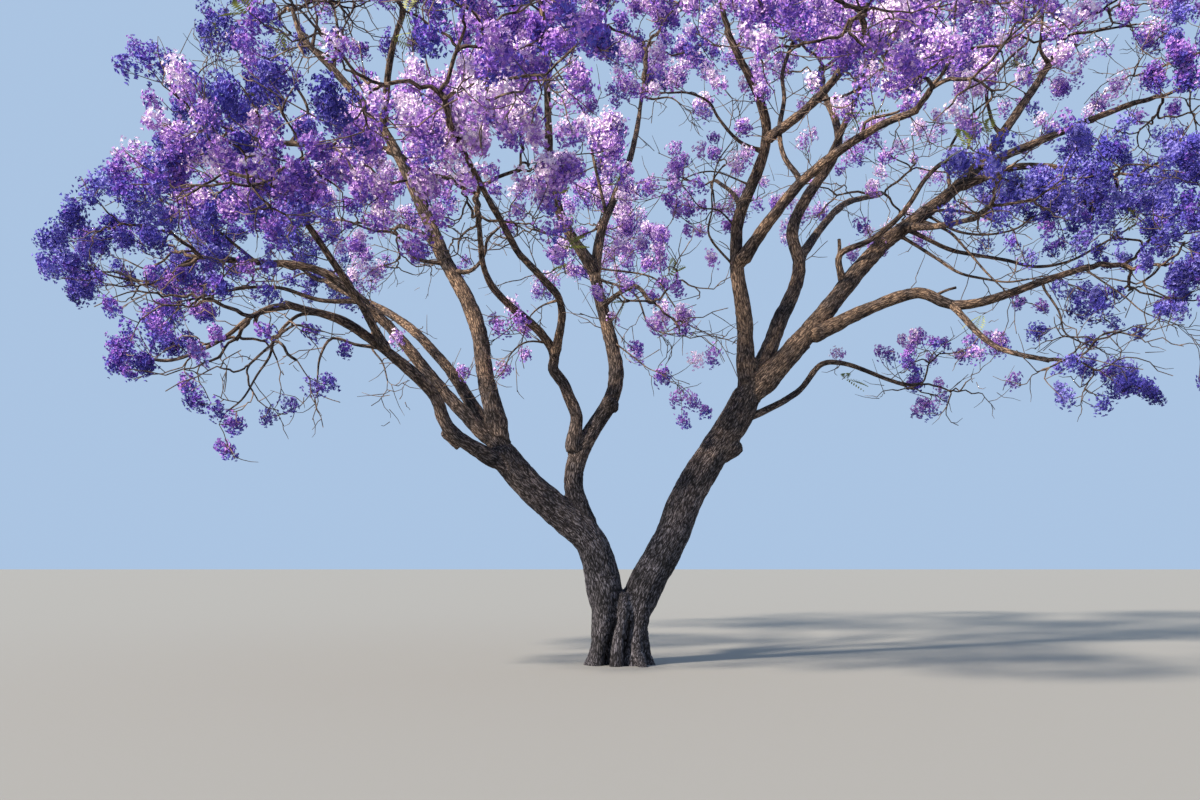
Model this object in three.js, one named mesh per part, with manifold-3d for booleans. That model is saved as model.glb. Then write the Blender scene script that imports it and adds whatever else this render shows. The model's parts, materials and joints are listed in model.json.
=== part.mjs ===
// A large old jacaranda in full bloom. Its short fluted trunk forks low into two leaning stems,
// and the boughs arch up and out to a wide, open umbrella of blossom.
// Millimetres, +Z up, ground at Z = 0, the middle of the trunk's foot at the origin.
// +X runs along the front of the tree to its right, and +Y runs away from the viewer.
import * as THREE from "three";
import { mergeVertices } from "three/addons/utils/BufferGeometryUtils.js";
import Module from "manifold-3d";

const wasm = await Module();
wasm.setup();

// Driving dimensions
const FORK_HEIGHT = 1270; // where the two stems leave the trunk
const ROOT_FLARES = 7; // swellings round the foot, over the main roots
const ROOT_TURN = 0.8; // which way the first of them points
// The foot between the two stems, from under the ground up to the crotch
const FOOT_RINGS = [
  { height: -80, width: 1010, depth: 960, flute: 0.13 },
  { height: 60, width: 905, depth: 850, flute: 0.1 },
  { height: 240, width: 815, depth: 750, flute: 0.06 },
  { height: 560, width: 770, depth: 690, flute: 0.04 },
  { height: 900, width: 760, depth: 640, flute: 0.03 },
  { height: 1090, width: 620, depth: 480, flute: 0.02 },
  { height: 1180, width: 260, depth: 200, flute: 0 },
];
const CLEARANCE = 0.4; // between two pieces that touch
const LIMB_SIDES = 7;
const RING_SPACING = 900; // along a limb
const STEM_RING_SPACING = 520;
const END_SHARE = 0.62; // a limb's last ring against its tip radius, so that it ends rounded
const CLUSTER_LENGTH = 820; // one blossom cluster, which stands for a spray of them
const CLUSTER_WIDTH = 600;
const CLUSTER_BELLY = 0.5; // how far along a cluster it is widest
const STEM_SHARE = 0.3; // how far a mass's stem runs from its limb's tip towards its middle
const TWIG_THINNING = 0.7; // a twig's radius against that of the one it grows from
const THINNEST_TWIG = 13;
const LEAST_OVERLAP = 0.5; // cubic millimetres that count as touching
const GOLDEN_ANGLE = Math.PI * (3 - Math.sqrt(5));

const bark = new THREE.MeshStandardMaterial({ color: 0x4a4039, roughness: 0.92, metalness: 0 });
const blossom = new THREE.MeshStandardMaterial({ color: 0x7f5fc4, roughness: 0.75, metalness: 0 });

// The two stems run from the ground. Each limb after them leaves its parent at a share of the
// parent's length, passes through the given points and ends at the last of them.
const limbs = [
  { name: "stem_left", from: [[-135, 0, -150], [-150, 0, 560]], start: 300, end: 205,
    through: [[-235, 0, 1110], [-464, -20, 1854], [-1000, -60, 2340], [-1526, -180, 2850], [-1795, -280, 3240]] },
  { name: "stem_right", from: [[125, 0, -150], [150, 0, 560]], start: 298, end: 225,
    through: [[350, 0, 1107], [740, 30, 1854], [1130, 80, 2740], [1720, 170, 3640], [1990, 200, 4160]] },
  { name: "left_low", on: "stem_left", at: 0.88, start: 130, end: 45,
    through: [[-2430, -780, 3400], [-2640, -1000, 3880], [-3580, -1800, 4650], [-4230, -2600, 4760]] },
  { name: "left_outer", on: "stem_left", at: 0.95, start: 125, end: 45,
    through: [[-2850, -420, 4320], [-3440, -500, 5020], [-4320, -700, 5700], [-5270, -800, 5790]] },
  { name: "left_back", on: "stem_left", at: 0.97, start: 115, end: 45,
    through: [[-2680, 500, 4560], [-3520, 1200, 5400], [-4950, 2400, 6290]] },
  { name: "left_high", on: "stem_left", at: 0.97, start: 160, end: 45,
    through: [[-1940, -280, 4100], [-2160, -200, 5160], [-2650, 0, 6120], [-3600, 300, 8110], [-4960, 600, 9700]] },
  { name: "centre_up", on: "stem_left", at: 0.45, start: 185, end: 45,
    through: [[-700, 70, 2900], [-80, 150, 4180], [-360, 500, 6150], [240, 1600, 8340], [480, 2500, 9970]] },
  { name: "right_up", on: "stem_right", at: 0.97, start: 155, end: 45,
    through: [[1900, 200, 5000], [1750, 0, 6490], [2120, -450, 7800], [1450, -1200, 8880]] },
  { name: "right_high", on: "stem_right", at: 0.95, start: 180, end: 45,
    through: [[2760, 100, 4900], [3980, 400, 6330], [5400, 600, 7480], [6240, 800, 8560], [7000, 1000, 9660]] },
  { name: "right_back", on: "stem_right", at: 0.97, start: 135, end: 45,
    through: [[2480, 560, 5200], [2860, 1000, 6200], [2800, 1200, 6900], [3620, 1600, 8420], [3500, 2200, 9560]] },
  { name: "left_front", on: "left_low", at: 0.62, start: 65, end: 36,
    through: [[-3420, -2500, 4950], [-3790, -3500, 5600]] },
  { name: "left_upper", on: "left_high", at: 0.47, start: 80, end: 40,
    through: [[-3370, 420, 7760], [-4700, 700, 8020], [-5650, 850, 8150]] },
  { name: "left_crown", on: "left_high", at: 0.72, start: 62, end: 36,
    through: [[-3320, -500, 8870], [-2990, -1300, 9100]] },
  { name: "back_left", on: "left_high", at: 0.3, start: 82, end: 40,
    through: [[-3170, 2000, 6940], [-4100, 4300, 7920]] },
  { name: "centre_left", on: "centre_up", at: 0.16, start: 120, end: 42,
    through: [[-1000, -400, 4620], [-1820, -1200, 5380], [-1850, -2400, 5970]] },
  { name: "centre_front", on: "centre_left", at: 0.36, start: 85, end: 40,
    through: [[-840, -900, 5100], [-1360, -2600, 5480], [-1830, -4600, 6050]] },
  { name: "centre_top", on: "centre_up", at: 0.5, start: 92, end: 42,
    through: [[-940, 200, 6900], [-1100, -400, 9130]] },
  { name: "back_centre", on: "centre_up", at: 0.38, start: 85, end: 40,
    through: [[-470, 2200, 6490], [-880, 4700, 7760]] },
  { name: "centre_droop", on: "centre_up", at: 0.44, start: 44, end: 28,
    through: [[190, -500, 5520], [390, -1200, 5120]] },
  { name: "right_front", on: "right_up", at: 0.36, start: 105, end: 42,
    through: [[2520, -900, 6860], [3300, -2000, 7200], [3620, -2700, 7130]] },
  { name: "front_right", on: "right_up", at: 0.7, start: 75, end: 40,
    through: [[2500, -1700, 7620], [2650, -4000, 7360]] },
  { name: "middle", on: "right_up", at: 0.5, start: 46, end: 28,
    through: [[1800, 600, 7200], [1620, 1600, 7800]] },
  { name: "right_crown", on: "right_back", at: 0.68, start: 66, end: 36,
    through: [[3800, 600, 9020], [3900, -100, 9300]] },
  { name: "back_right", on: "right_back", at: 0.42, start: 82, end: 40,
    through: [[3880, 2600, 7700], [5030, 4300, 8500]] },
  { name: "right_low", on: "right_high", at: 0.16, start: 125, end: 42,
    through: [[4350, -200, 5480], [4920, -400, 5280], [6560, -1000, 5670]] },
  { name: "right_droop", on: "right_low", at: 0.55, start: 55, end: 28,
    through: [[5170, -1200, 4500], [5600, -1900, 4180]] },
  { name: "right_front_low", on: "right_high", at: 0.48, start: 66, end: 34,
    through: [[4560, -700, 6330], [4630, -1900, 6050]] },
  { name: "right_mid", on: "right_high", at: 0.62, start: 70, end: 36,
    through: [[6000, 150, 7480], [6720, -600, 7150]] },
  { name: "right_outer", on: "right_high", at: 0.68, start: 76, end: 40,
    through: [[6300, 500, 7950], [7750, 100, 8440]] },
  { name: "right_under", on: "stem_right", at: 0.86, start: 66, end: 30,
    through: [[2750, 560, 4150], [3250, 850, 4660], [4670, 1400, 4400]] },
];

// Each limb but the stems ends in a mass of blossom. Its space is an ellipsoid, given by how far
// its middle lies beyond the limb's tip, its half sizes and how many clusters it carries.
const masses = [
  { on: "left_low", beyond: [-620, -560, -560], half: [1500, 1450, 1000], clusters: 32 },
  { on: "left_outer", beyond: [-1630, -50, 160], half: [1500, 1600, 1050], clusters: 40 },
  { on: "left_back", beyond: [-1550, 1050, 960], half: [2000, 2000, 1200], clusters: 42 },
  { on: "left_high", beyond: [-150, 100, 900], half: [1750, 2100, 1200], clusters: 42 },
  { on: "left_upper", beyond: [-1200, 250, 560], half: [1450, 1700, 1050], clusters: 40 },
  { on: "left_front", beyond: [-440, -900, 380], half: [1550, 1600, 1000], clusters: 40 },
  { on: "left_crown", beyond: [-500, -1500, 100], half: [1850, 1700, 1150], clusters: 42 },
  { on: "back_left", beyond: [-450, 1100, 150], half: [2250, 2050, 1300], clusters: 44 },
  { on: "centre_left", beyond: [100, -1150, 60], half: [1850, 1450, 1100], clusters: 38 },
  { on: "centre_front", beyond: [-20, -1500, 280], half: [1900, 1500, 1050], clusters: 42 },
  { on: "centre_up", beyond: [110, 550, 1350], half: [2250, 2150, 1150], clusters: 44 },
  { on: "centre_top", beyond: [-150, -150, 1150], half: [2200, 2150, 1200], clusters: 44 },
  { on: "back_centre", beyond: [-220, 1150, 300], half: [2200, 1900, 1300], clusters: 44 },
  { on: "centre_droop", beyond: [60, -760, -120], half: [1150, 1150, 850], clusters: 16 },
  { on: "right_up", beyond: [-100, -50, 1150], half: [1950, 1900, 1150], clusters: 40 },
  { on: "right_front", beyond: [120, -800, 420], half: [1750, 1500, 1050], clusters: 34 },
  { on: "front_right", beyond: [-600, -1550, -60], half: [1800, 1500, 1050], clusters: 38 },
  { on: "middle", beyond: [-100, 1100, 250], half: [1100, 1200, 1150], clusters: 14 },
  { on: "right_crown", beyond: [420, -700, 560], half: [1950, 1900, 1100], clusters: 40 },
  { on: "right_back", beyond: [280, 850, 1350], half: [2150, 2100, 1150], clusters: 42 },
  { on: "back_right", beyond: [350, 950, 400], half: [2500, 2050, 1300], clusters: 44 },
  { on: "right_low", beyond: [1000, -150, -60], half: [1450, 1600, 1000], clusters: 34 },
  { on: "right_droop", beyond: [420, -550, -20], half: [1100, 1100, 700], clusters: 20 },
  { on: "right_front_low", beyond: [-20, -1150, 0], half: [950, 1050, 650], clusters: 16 },
  { on: "right_mid", beyond: [550, -500, -300], half: [1450, 1500, 850], clusters: 28 },
  { on: "right_outer", beyond: [700, -50, 150], half: [1350, 1650, 1050], clusters: 34 },
  { on: "right_high", beyond: [150, 250, 850], half: [2050, 2050, 1150], clusters: 42 },
  { on: "right_under", beyond: [600, 250, 180], half: [1350, 1300, 850], clusters: 22 },
];

const vector = (point) => new THREE.Vector3(...point);

// Repeatable random numbers from 0 to 1
function seeded(seed) {
  let state = seed * 7919 + 17;
  return () => {
    state = (state * 16807) % 2147483647;
    return state / 2147483647;
  };
}

// A three.js geometry as a closed solid
function solid(geometry) {
  geometry.deleteAttribute("normal");
  geometry.deleteAttribute("uv");
  const merged = mergeVertices(geometry, 1e-3);
  return new wasm.Manifold(
    new wasm.Mesh({
      numProp: 3,
      vertProperties: merged.attributes.position.array,
      triVerts: new Uint32Array(merged.index.array),
    }),
  );
}

// A closed solid as a three.js geometry
function geometryOf(body) {
  const mesh = body.getMesh();
  return new THREE.BufferGeometry()
    .setAttribute("position", new THREE.BufferAttribute(mesh.vertProperties, 3))
    .setIndex(new THREE.BufferAttribute(mesh.triVerts, 1));
}

function largestPiece(body) {
  return body.decompose().reduce((best, piece) => (piece.volume() > best.volume() ? piece : best));
}

// Bends an upright cylinder of unit radius and height along a curve, swollen all round if wanted
function bentAlong(curve, rod, rings, from, to, radiusAt, swell) {
  const frames = [];
  let side = new THREE.Vector3(0, 1, 0);
  for (let i = 0; i <= rings; i++) {
    const share = from + ((to - from) * i) / rings;
    const along = curve.getTangentAt(share);
    const push = i === 0 ? -swell : i === rings ? swell : 0;
    const middle = curve.getPointAt(share).addScaledVector(along, push);
    side = side.clone().addScaledVector(along, -side.dot(along)).normalize();
    frames.push({ middle, side, across: along.clone().cross(side), radius: radiusAt(share) + swell });
  }
  const places = rod.attributes.position;
  for (let i = 0; i < places.count; i++) {
    const frame = frames[Math.round((places.getY(i) + 0.5) * rings)];
    const place = frame.middle
      .clone()
      .addScaledVector(frame.across, places.getX(i) * frame.radius)
      .addScaledVector(frame.side, places.getZ(i) * frame.radius);
    places.setXYZ(i, place.x, place.y, place.z);
  }
  return solid(rod);
}

// Limbs
const limbByName = new Map();

// A limb tapers to its tip, and is narrower at its root, inside its parent
function radiusOf(limb, share) {
  const taper = limb.start + (limb.end - limb.start) * share ** 0.8;
  const out = limb.on ? (share * limb.length) / limb.buried : 9;
  return taper * (1 - 0.32 * Math.exp(-out * out));
}

function limbSolid(limb, from, to, swell) {
  const spacing = limb.on ? RING_SPACING : STEM_RING_SPACING;
  const rings = Math.max(2, Math.round(((to - from) * limb.length) / spacing));
  const rod = new THREE.CylinderGeometry(1, 1, 1, limb.on ? LIMB_SIDES : LIMB_SIDES + 2, rings);
  const radiusAt = (share) => radiusOf(limb, share) * (share === 1 && !limb.on ? END_SHARE : 1);
  return bentAlong(limb.curve, rod, rings, from, to, radiusAt, swell);
}

for (const limb of limbs) {
  const parent = limb.on && limbByName.get(limb.on);
  const foot = parent ? [parent.curve.getPointAt(limb.at)] : limb.from.map(vector);
  limb.curve = new THREE.CatmullRomCurve3([...foot, ...limb.through.map(vector)], false, "centripetal");
  limb.length = limb.curve.getLength();
  limb.buried = parent && radiusOf(parent, limb.at);
  limb.tip = limb.curve.getPointAt(1);
  limbByName.set(limb.name, limb);
}

// The share of a stem's length at which it leaves the trunk
function shareAtHeight(limb, height) {
  let share = 0;
  while (limb.curve.getPointAt(share).z < height) share += 0.002;
  return share;
}

// The trunk: the lower ends of both stems, run together in a waisted, fluted foot and cut flat
function trunkSolid() {
  const stems = limbs.filter((limb) => !limb.on);
  const lower = stems.map((stem) => limbSolid(stem, 0, stem.leaves, 0));
  const foot = new THREE.CylinderGeometry(1, 1, 1, ROOT_FLARES * 4, FOOT_RINGS.length - 1);
  const places = foot.attributes.position;
  for (let i = 0; i < places.count; i++) {
    const { height, width, depth, flute } = FOOT_RINGS[Math.round((places.getY(i) + 0.5) * (FOOT_RINGS.length - 1))];
    const [x, z] = [places.getX(i), places.getZ(i)];
    const grown = 1 + flute * Math.cos(ROOT_FLARES * Math.atan2(z, x) + ROOT_TURN);
    places.setXYZ(i, x * (width / 2) * grown, -z * (depth / 2) * grown, height);
  }
  const ground = solid(new THREE.BoxGeometry(4000, 4000, 1000).translate(0, 0, -500));
  return largestPiece(wasm.Manifold.union([...lower, solid(foot)]).subtract(ground));
}

// Each limb is cut clear of the limbs before it that it grows from or brushes past
function buildLimbs() {
  const made = [];
  for (const limb of limbs) {
    if (!limb.on) limb.leaves = shareAtHeight(limb, FORK_HEIGHT);
  }
  made.push({ name: "trunk", body: trunkSolid() });
  for (const limb of limbs) {
    const from = limb.on ? 0 : limb.leaves + CLEARANCE / limb.length;
    let body = limbSolid(limb, from, 1, 0);
    for (const other of made) {
      if (other.swollen && !body.intersect(other.swollen).isEmpty()) body = body.subtract(other.swollen);
    }
    made.push({ name: limb.name, body: largestPiece(body), swollen: limbSolid(limb, from, 1, CLEARANCE) });
  }
  for (const piece of made) {
    const { min, max } = piece.body.boundingBox();
    piece.box = new THREE.Box3(vector(min), vector(max));
  }
  return made;
}

// Masses of blossom. A twig or a cluster grows from a three-cornered face of the twig before it, so
// that a mass is one closed skin.
for (const [index, mass] of masses.entries()) {
  mass.limb = limbByName.get(mass.on);
  mass.middle = mass.limb.tip.clone().add(vector(mass.beyond));
  mass.random = seeded(index + 1);
  mass.places = [];
  mass.faces = [];
  mass.pieces = [];
}

// How far out in a mass's space a place is: 0 in the middle and 1 on its skin
function depthIn(mass, place) {
  const out = place.clone().sub(mass.middle);
  return Math.hypot(out.x / mass.half[0], out.y / mass.half[1], out.z / mass.half[2]);
}

function keepsToItsSpace(mass, place) {
  const own = depthIn(mass, place);
  return own <= 1.005 && masses.every((other) => other === mass || depthIn(other, place) > own + 0.01);
}

// Spots spread evenly through the outer part of a mass's space
function spotsIn(mass) {
  const spots = [];
  for (let i = 0; i < mass.clusters; i++) {
    const height = 1 - (2 * (i + 0.5)) / mass.clusters;
    const turn = i * GOLDEN_ANGLE + mass.random() * 0.5;
    const out = 0.62 + 0.38 * Math.sqrt(mass.random());
    const level = Math.sqrt(1 - height * height);
    spots.push(
      new THREE.Vector3(
        Math.cos(turn) * level * out * mass.half[0],
        Math.sin(turn) * level * out * mass.half[1],
        height * out * mass.half[2],
      ).add(mass.middle),
    );
  }
  return spots;
}

function centreOf(places) {
  return places.reduce((sum, place) => sum.add(place), new THREE.Vector3()).divideScalar(places.length);
}

// Angles round an axis, anticlockwise as seen from its far end
function anglesRound(axis) {
  const side = new THREE.Vector3(0, 0, 1).cross(axis);
  if (side.length() < 0.1) side.set(1, 0, 0).addScaledVector(axis, -axis.x);
  const first = side.normalize();
  const second = axis.clone().cross(first);
  return {
    of: (way) => Math.atan2(way.dot(second), way.dot(first)),
    at: (angle) => first.clone().multiplyScalar(Math.cos(angle)).addScaledVector(second, Math.sin(angle)),
  };
}

// The turn of a three-cornered ring that best fits these angles
function turnOfRing(angles) {
  const sum = angles.reduce(([x, y], angle) => [x + Math.cos(3 * angle), y + Math.sin(3 * angle)], [0, 0]);
  return Math.atan2(sum[1], sum[0]) / 3;
}

// Three places round a middle, each opposite its corner of the base they rise from
function ringOver(base, middle, axis, radii, wanted) {
  const round = anglesRound(axis);
  const from = centreOf(base);
  const corners = base.map((corner) => round.of(corner.clone().sub(from)));
  const step = (2 * Math.PI) / 3;
  const own = turnOfRing(corners);
  let turn = wanted === undefined ? own : wanted;
  turn -= Math.round((turn - own) / step) * step;
  const first = turn + Math.round((corners[0] - turn) / step) * step;
  return [0, 1, 2].map((n) => middle.clone().addScaledVector(round.at(first + n * step), radii[n]));
}

const wallsOf = (face, ring) =>
  [0, 1, 2].flatMap((n) => {
    const next = (n + 1) % 3;
    return [[face[n], face[next], ring[next]], [face[n], ring[next], ring[n]]];
  });
const fanOf = (ring, top) => [0, 1, 2].map((n) => [ring[n], ring[(n + 1) % 3], top]);

function skinOf(places, faces) {
  return new THREE.BufferGeometry()
    .setAttribute("position", new THREE.BufferAttribute(new Float32Array(places.flatMap((p) => p.toArray())), 3))
    .setIndex(faces.flat());
}

// Adds a piece that rises from a face by way of a ring to a top, and returns the ring and the top as
// numbers of corners. It is left out where it would leave its space or touch a limb or another piece.
function addPiece(mass, face, ring, top, isStem = false) {
  const base = face.map((corner) => mass.places[corner]);
  const [a, b, c] = base;
  const outward = b.clone().sub(a).cross(c.clone().sub(a)).normalize();
  const middle = centreOf(base);
  const steepest = Math.min(...ring.map((place) => place.clone().sub(middle).normalize().dot(outward)));
  if (steepest < 0.06) return null;
  if (!isStem && ![...ring, top].every((place) => keepsToItsSpace(mass, place))) return null;
  const own = [...base, ...ring, top];
  const body = solid(skinOf(own, [[0, 2, 1], ...wallsOf([0, 1, 2], [3, 4, 5]), ...fanOf([3, 4, 5], 6)]));
  const box = new THREE.Box3().setFromPoints(own);
  const touches = (other) =>
    box.intersectsBox(other.box) && body.intersect(other.body).volume() > LEAST_OVERLAP;
  if (limbBodies.some((other) => !(isStem && other.name === mass.on) && touches(other))) return null;
  if (masses.some((other) => other.pieces.some(touches))) return null;
  mass.pieces.push({ body, box });
  const numbers = [...ring, top].map((place) => mass.places.push(place) - 1);
  return { ring: numbers.slice(0, 3), top: numbers[3] };
}

// A blossom cluster from a face to a spot, made narrower where it is too wide for its place
function growCluster(mass, face, spot) {
  const root = centreOf(face.map((corner) => mass.places[corner]));
  const way = spot.clone().sub(root);
  const length = THREE.MathUtils.clamp(way.length(), 0.6 * CLUSTER_LENGTH, 1.4 * CLUSTER_LENGTH);
  way.normalize();
  const belly = CLUSTER_BELLY + 0.12 * (mass.random() - 0.5);
  const shares = [0, 1, 2].map(() => 0.85 + 0.35 * mass.random());
  for (const [reach, width] of [[1, 1], [1, 0.75], [0.8, 0.7], [0.75, 0.5], [0.6, 0.45]]) {
    const radii = shares.map((share) => (share * width * CLUSTER_WIDTH) / 2);
    const base = face.map((corner) => mass.places[corner]);
    const middle = root.clone().addScaledVector(way, length * reach * belly);
    const point = root.clone().addScaledVector(way, length * reach);
    const made = addPiece(mass, face, ringOver(base, middle, way, radii), point);
    if (made) {
      mass.faces.push(...wallsOf(face, made.ring), ...fanOf(made.ring, made.top));
      mass.carried += 1;
      return true;
    }
  }
  return false;
}

// The spots parted in three round an axis, where the parts keep closest together
function parted(spots, start, axis) {
  const round = anglesRound(axis);
  const sorted = spots
    .map((spot) => ({ spot, angle: round.of(spot.clone().sub(start)) }))
    .sort((a, b) => a.angle - b.angle);
  const size = Math.ceil(sorted.length / 3);
  let best = null;
  for (let first = 0; first < sorted.length; first++) {
    const turned = [...sorted.slice(first), ...sorted.slice(0, first)].map(({ spot }) => spot);
    const parts = [turned.slice(0, size), turned.slice(size, 2 * size), turned.slice(2 * size)];
    const spread = parts
      .filter((part) => part.length)
      .reduce((sum, part) => sum + part.reduce((far, spot) => far + spot.distanceTo(centreOf(part)), 0), 0);
    if (!best || spread < best.spread) best = { parts, spread };
  }
  return best.parts.filter((part) => part.length);
}

// Each part of the spots with the one of three faces that looks towards it
function matched(mass, faces, parts) {
  const fit = (face, part) => {
    const [a, b, c] = face.map((corner) => mass.places[corner]);
    const outward = b.clone().sub(a).cross(c.clone().sub(a)).normalize();
    return outward.dot(centreOf(part).sub(a).normalize());
  };
  const orders = [[0, 1, 2], [0, 2, 1], [1, 0, 2], [1, 2, 0], [2, 0, 1], [2, 1, 0]];
  const worth = (order) => parts.reduce((sum, part, n) => sum + fit(faces[order[n]], part), 0);
  const best = orders.reduce((a, b) => (worth(b) > worth(a) ? b : a));
  return faces.map((face, n) => ({ face, part: parts[best.indexOf(n)] }));
}

// Grows a twig from a face towards its spots and then three more, or clusters, from its end
function grow(mass, face, spots, radius) {
  const base = face.map((corner) => mass.places[corner]);
  const start = centreOf(base);
  const target = centreOf(spots);
  const distance = start.distanceTo(target);
  if (spots.length === 1 && distance < 1.5 * CLUSTER_LENGTH) return growCluster(mass, face, spots[0]);
  const share = spots.length === 1 ? 1 - CLUSTER_LENGTH / distance : spots.length <= 3 ? 0.55 : 0.5;
  const end = start.clone().lerp(target, share);
  const axis = target.clone().sub(start).normalize();
  const parts = spots.length === 1 ? [spots] : parted(spots, end, axis);
  const round = anglesRound(axis);
  const ways = parts.map((part) => round.of(centreOf(part).sub(end)) + Math.PI / 3);
  const ring = ringOver(base, end, axis, [radius, radius, radius], turnOfRing(ways));
  const counts = [mass.places.length, mass.faces.length, mass.pieces.length];
  const made = addPiece(mass, face, ring, end.clone().addScaledVector(axis, radius * 0.7));
  if (!made) return false;
  mass.faces.push(...wallsOf(face, made.ring));
  const before = mass.carried;
  for (const { face: next, part } of matched(mass, fanOf(made.ring, made.top), parts)) {
    if (!part || !grow(mass, next, part, Math.max(radius * TWIG_THINNING, THINNEST_TWIG))) mass.faces.push(next);
  }
  if (mass.carried > before) return true;
  [mass.places.length, mass.faces.length, mass.pieces.length] = counts;
  return false;
}

// The stem runs on from its limb's tip
function addStem(mass) {
  const way = mass.limb.curve.getTangentAt(1);
  const start = mass.limb.tip.clone().addScaledVector(way, CLEARANCE);
  const end = start.clone().addScaledVector(way, 120).lerp(mass.middle, STEM_SHARE);
  const round = anglesRound(way);
  for (let n = 0; n < 3; n++) {
    const out = round.at((n * 2 * Math.PI) / 3).multiplyScalar(mass.limb.end);
    mass.places.push(start.clone().add(out));
  }
  mass.faces.push([0, 2, 1]);
  mass.stemEnd = end;
  mass.axis = end.clone().sub(start).normalize();
  mass.spots = spotsIn(mass);
  mass.parts = parted(mass.spots, end, mass.axis);
  const ways = mass.parts.map((part) => anglesRound(mass.axis).of(centreOf(part).sub(end)) + Math.PI / 3);
  const radii = [1, 1, 1].map(() => mass.limb.end * 0.85);
  const ring = ringOver(mass.places.slice(0, 3), end, mass.axis, radii, turnOfRing(ways));
  const top = end.clone().addScaledVector(mass.axis, mass.limb.end * 0.6);
  mass.stem = addPiece(mass, [0, 1, 2], ring, top, true);
  if (!mass.stem) throw new Error(`no room for the stem on ${mass.on}`);
  mass.faces.push(...wallsOf([0, 1, 2], mass.stem.ring));
}

function growMass(mass) {
  mass.carried = 0;
  const ends = fanOf(mass.stem.ring, mass.stem.top);
  for (const { face, part } of matched(mass, ends, mass.parts)) {
    if (!grow(mass, face, part, mass.limb.end * 0.62)) mass.faces.push(face);
  }
  return skinOf(mass.places, mass.faces);
}

// The tree
const tree = new THREE.Group();
const limbBodies = buildLimbs();
for (const { name, body } of limbBodies) {
  const mesh = new THREE.Mesh(geometryOf(body), bark);
  mesh.name = name;
  tree.add(mesh);
}
for (const mass of masses) addStem(mass);
for (const mass of masses) {
  const mesh = new THREE.Mesh(growMass(mass), blossom);
  mesh.name = `blossom_${mass.on}`;
  tree.add(mesh);
}

export default tree;
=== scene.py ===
# %% [markdown]
# # A jacaranda in full bloom
#
# An old jacaranda has a short, fluted trunk that forks low. Its boughs wind up and out to a wide,
# open umbrella, and for a few weeks the whole crown is violet blossom with hardly a leaf on it.
# The frame holds the plain solids of the trunk, the limbs and the masses of blossom. This lesson
# grows the tree again on the same skeleton: bark with real relief, boughs that run on into
# finer and finer twigs, and a panicle of trumpet flowers at the end of each one.

# %% Setup
import json
import math
import bmesh
import bpy
import numpy as np
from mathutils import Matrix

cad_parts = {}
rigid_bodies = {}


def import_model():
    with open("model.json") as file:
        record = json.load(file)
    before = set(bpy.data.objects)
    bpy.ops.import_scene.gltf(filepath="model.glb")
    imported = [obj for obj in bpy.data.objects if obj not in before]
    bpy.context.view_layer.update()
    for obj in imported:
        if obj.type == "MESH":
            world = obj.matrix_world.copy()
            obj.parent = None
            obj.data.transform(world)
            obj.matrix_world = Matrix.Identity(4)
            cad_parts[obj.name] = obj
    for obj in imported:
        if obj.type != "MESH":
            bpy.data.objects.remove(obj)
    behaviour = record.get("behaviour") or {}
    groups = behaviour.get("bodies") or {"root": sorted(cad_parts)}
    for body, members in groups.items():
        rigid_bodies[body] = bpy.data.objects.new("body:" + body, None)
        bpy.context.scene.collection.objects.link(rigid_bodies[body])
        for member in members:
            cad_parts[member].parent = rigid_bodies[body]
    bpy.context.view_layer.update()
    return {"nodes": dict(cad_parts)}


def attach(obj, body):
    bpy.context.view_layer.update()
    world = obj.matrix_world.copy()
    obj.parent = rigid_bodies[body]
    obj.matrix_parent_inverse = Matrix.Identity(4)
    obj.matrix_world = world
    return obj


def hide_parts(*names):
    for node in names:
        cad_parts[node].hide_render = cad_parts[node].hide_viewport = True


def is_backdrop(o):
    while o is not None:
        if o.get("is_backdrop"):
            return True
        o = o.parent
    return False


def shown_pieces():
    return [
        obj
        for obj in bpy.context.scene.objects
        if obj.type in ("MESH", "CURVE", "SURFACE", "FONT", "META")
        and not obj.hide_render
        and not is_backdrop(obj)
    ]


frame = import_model()
scene = bpy.context.scene
print("solids in the frame:", len(frame["nodes"]))

# %% [markdown]
# ## A few helpers
#
# Colours are easiest to pick as the hex values of a paint chart, which are in the sRGB scale, but
# a shader works in linear light, so one function turns the first into the second. Another adds a
# node to any tree, sets it, plugs it in and hands back one of its outputs, so that each step of a
# node tree stays one line. The rest start an object and a material, and set a colour ramp.

# %% Helpers for colours, nodes and objects
def linear(code):
    shares = [int(code[i : i + 2], 16) / 255 for i in (1, 3, 5)]
    return [s / 12.92 if s <= 0.04045 else ((s + 0.055) / 1.055) ** 2.4 for s in shares] + [1.0]


def add_node(tree, kind, inputs=None, output=0, **settings):
    made = tree.nodes.new(kind)
    for name, value in settings.items():
        setattr(made, name, value)
    for key, value in (inputs or {}).items():
        if isinstance(value, bpy.types.NodeSocket):
            tree.links.new(value, made.inputs[key])
        else:
            made.inputs[key].default_value = value
    return made.outputs[output]


def new_object(name, data):
    made = bpy.data.objects.new(name, data)
    scene.collection.objects.link(made)
    return made


def new_material(name, values):
    """A material with these values, its node tree and its shader's inputs."""
    made = bpy.data.materials.new(name)
    made.use_nodes = True
    shader = made.node_tree.nodes["Principled BSDF"].inputs
    for label, value in values.items():
        shader[label].default_value = value
    return made, made.node_tree, shader


def set_ramp(colour, *stops):
    """Sets the ramp that this colour comes from: each stop is a place and a hex value."""
    elements = colour.node.color_ramp.elements
    while len(elements) < len(stops):
        elements.new(0.5)
    for element, (place, code) in zip(elements, stops):
        element.position = place
        element.color = linear(code)


# %% [markdown]
# ## The viewpoint
#
# The tree is seen from the front, at the height of a person's eyes. The camera
# looks straight ahead and its lens is shifted upwards, as a view camera's is, so that the trunk
# stays upright and most of the tall crown comes into the frame.

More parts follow.
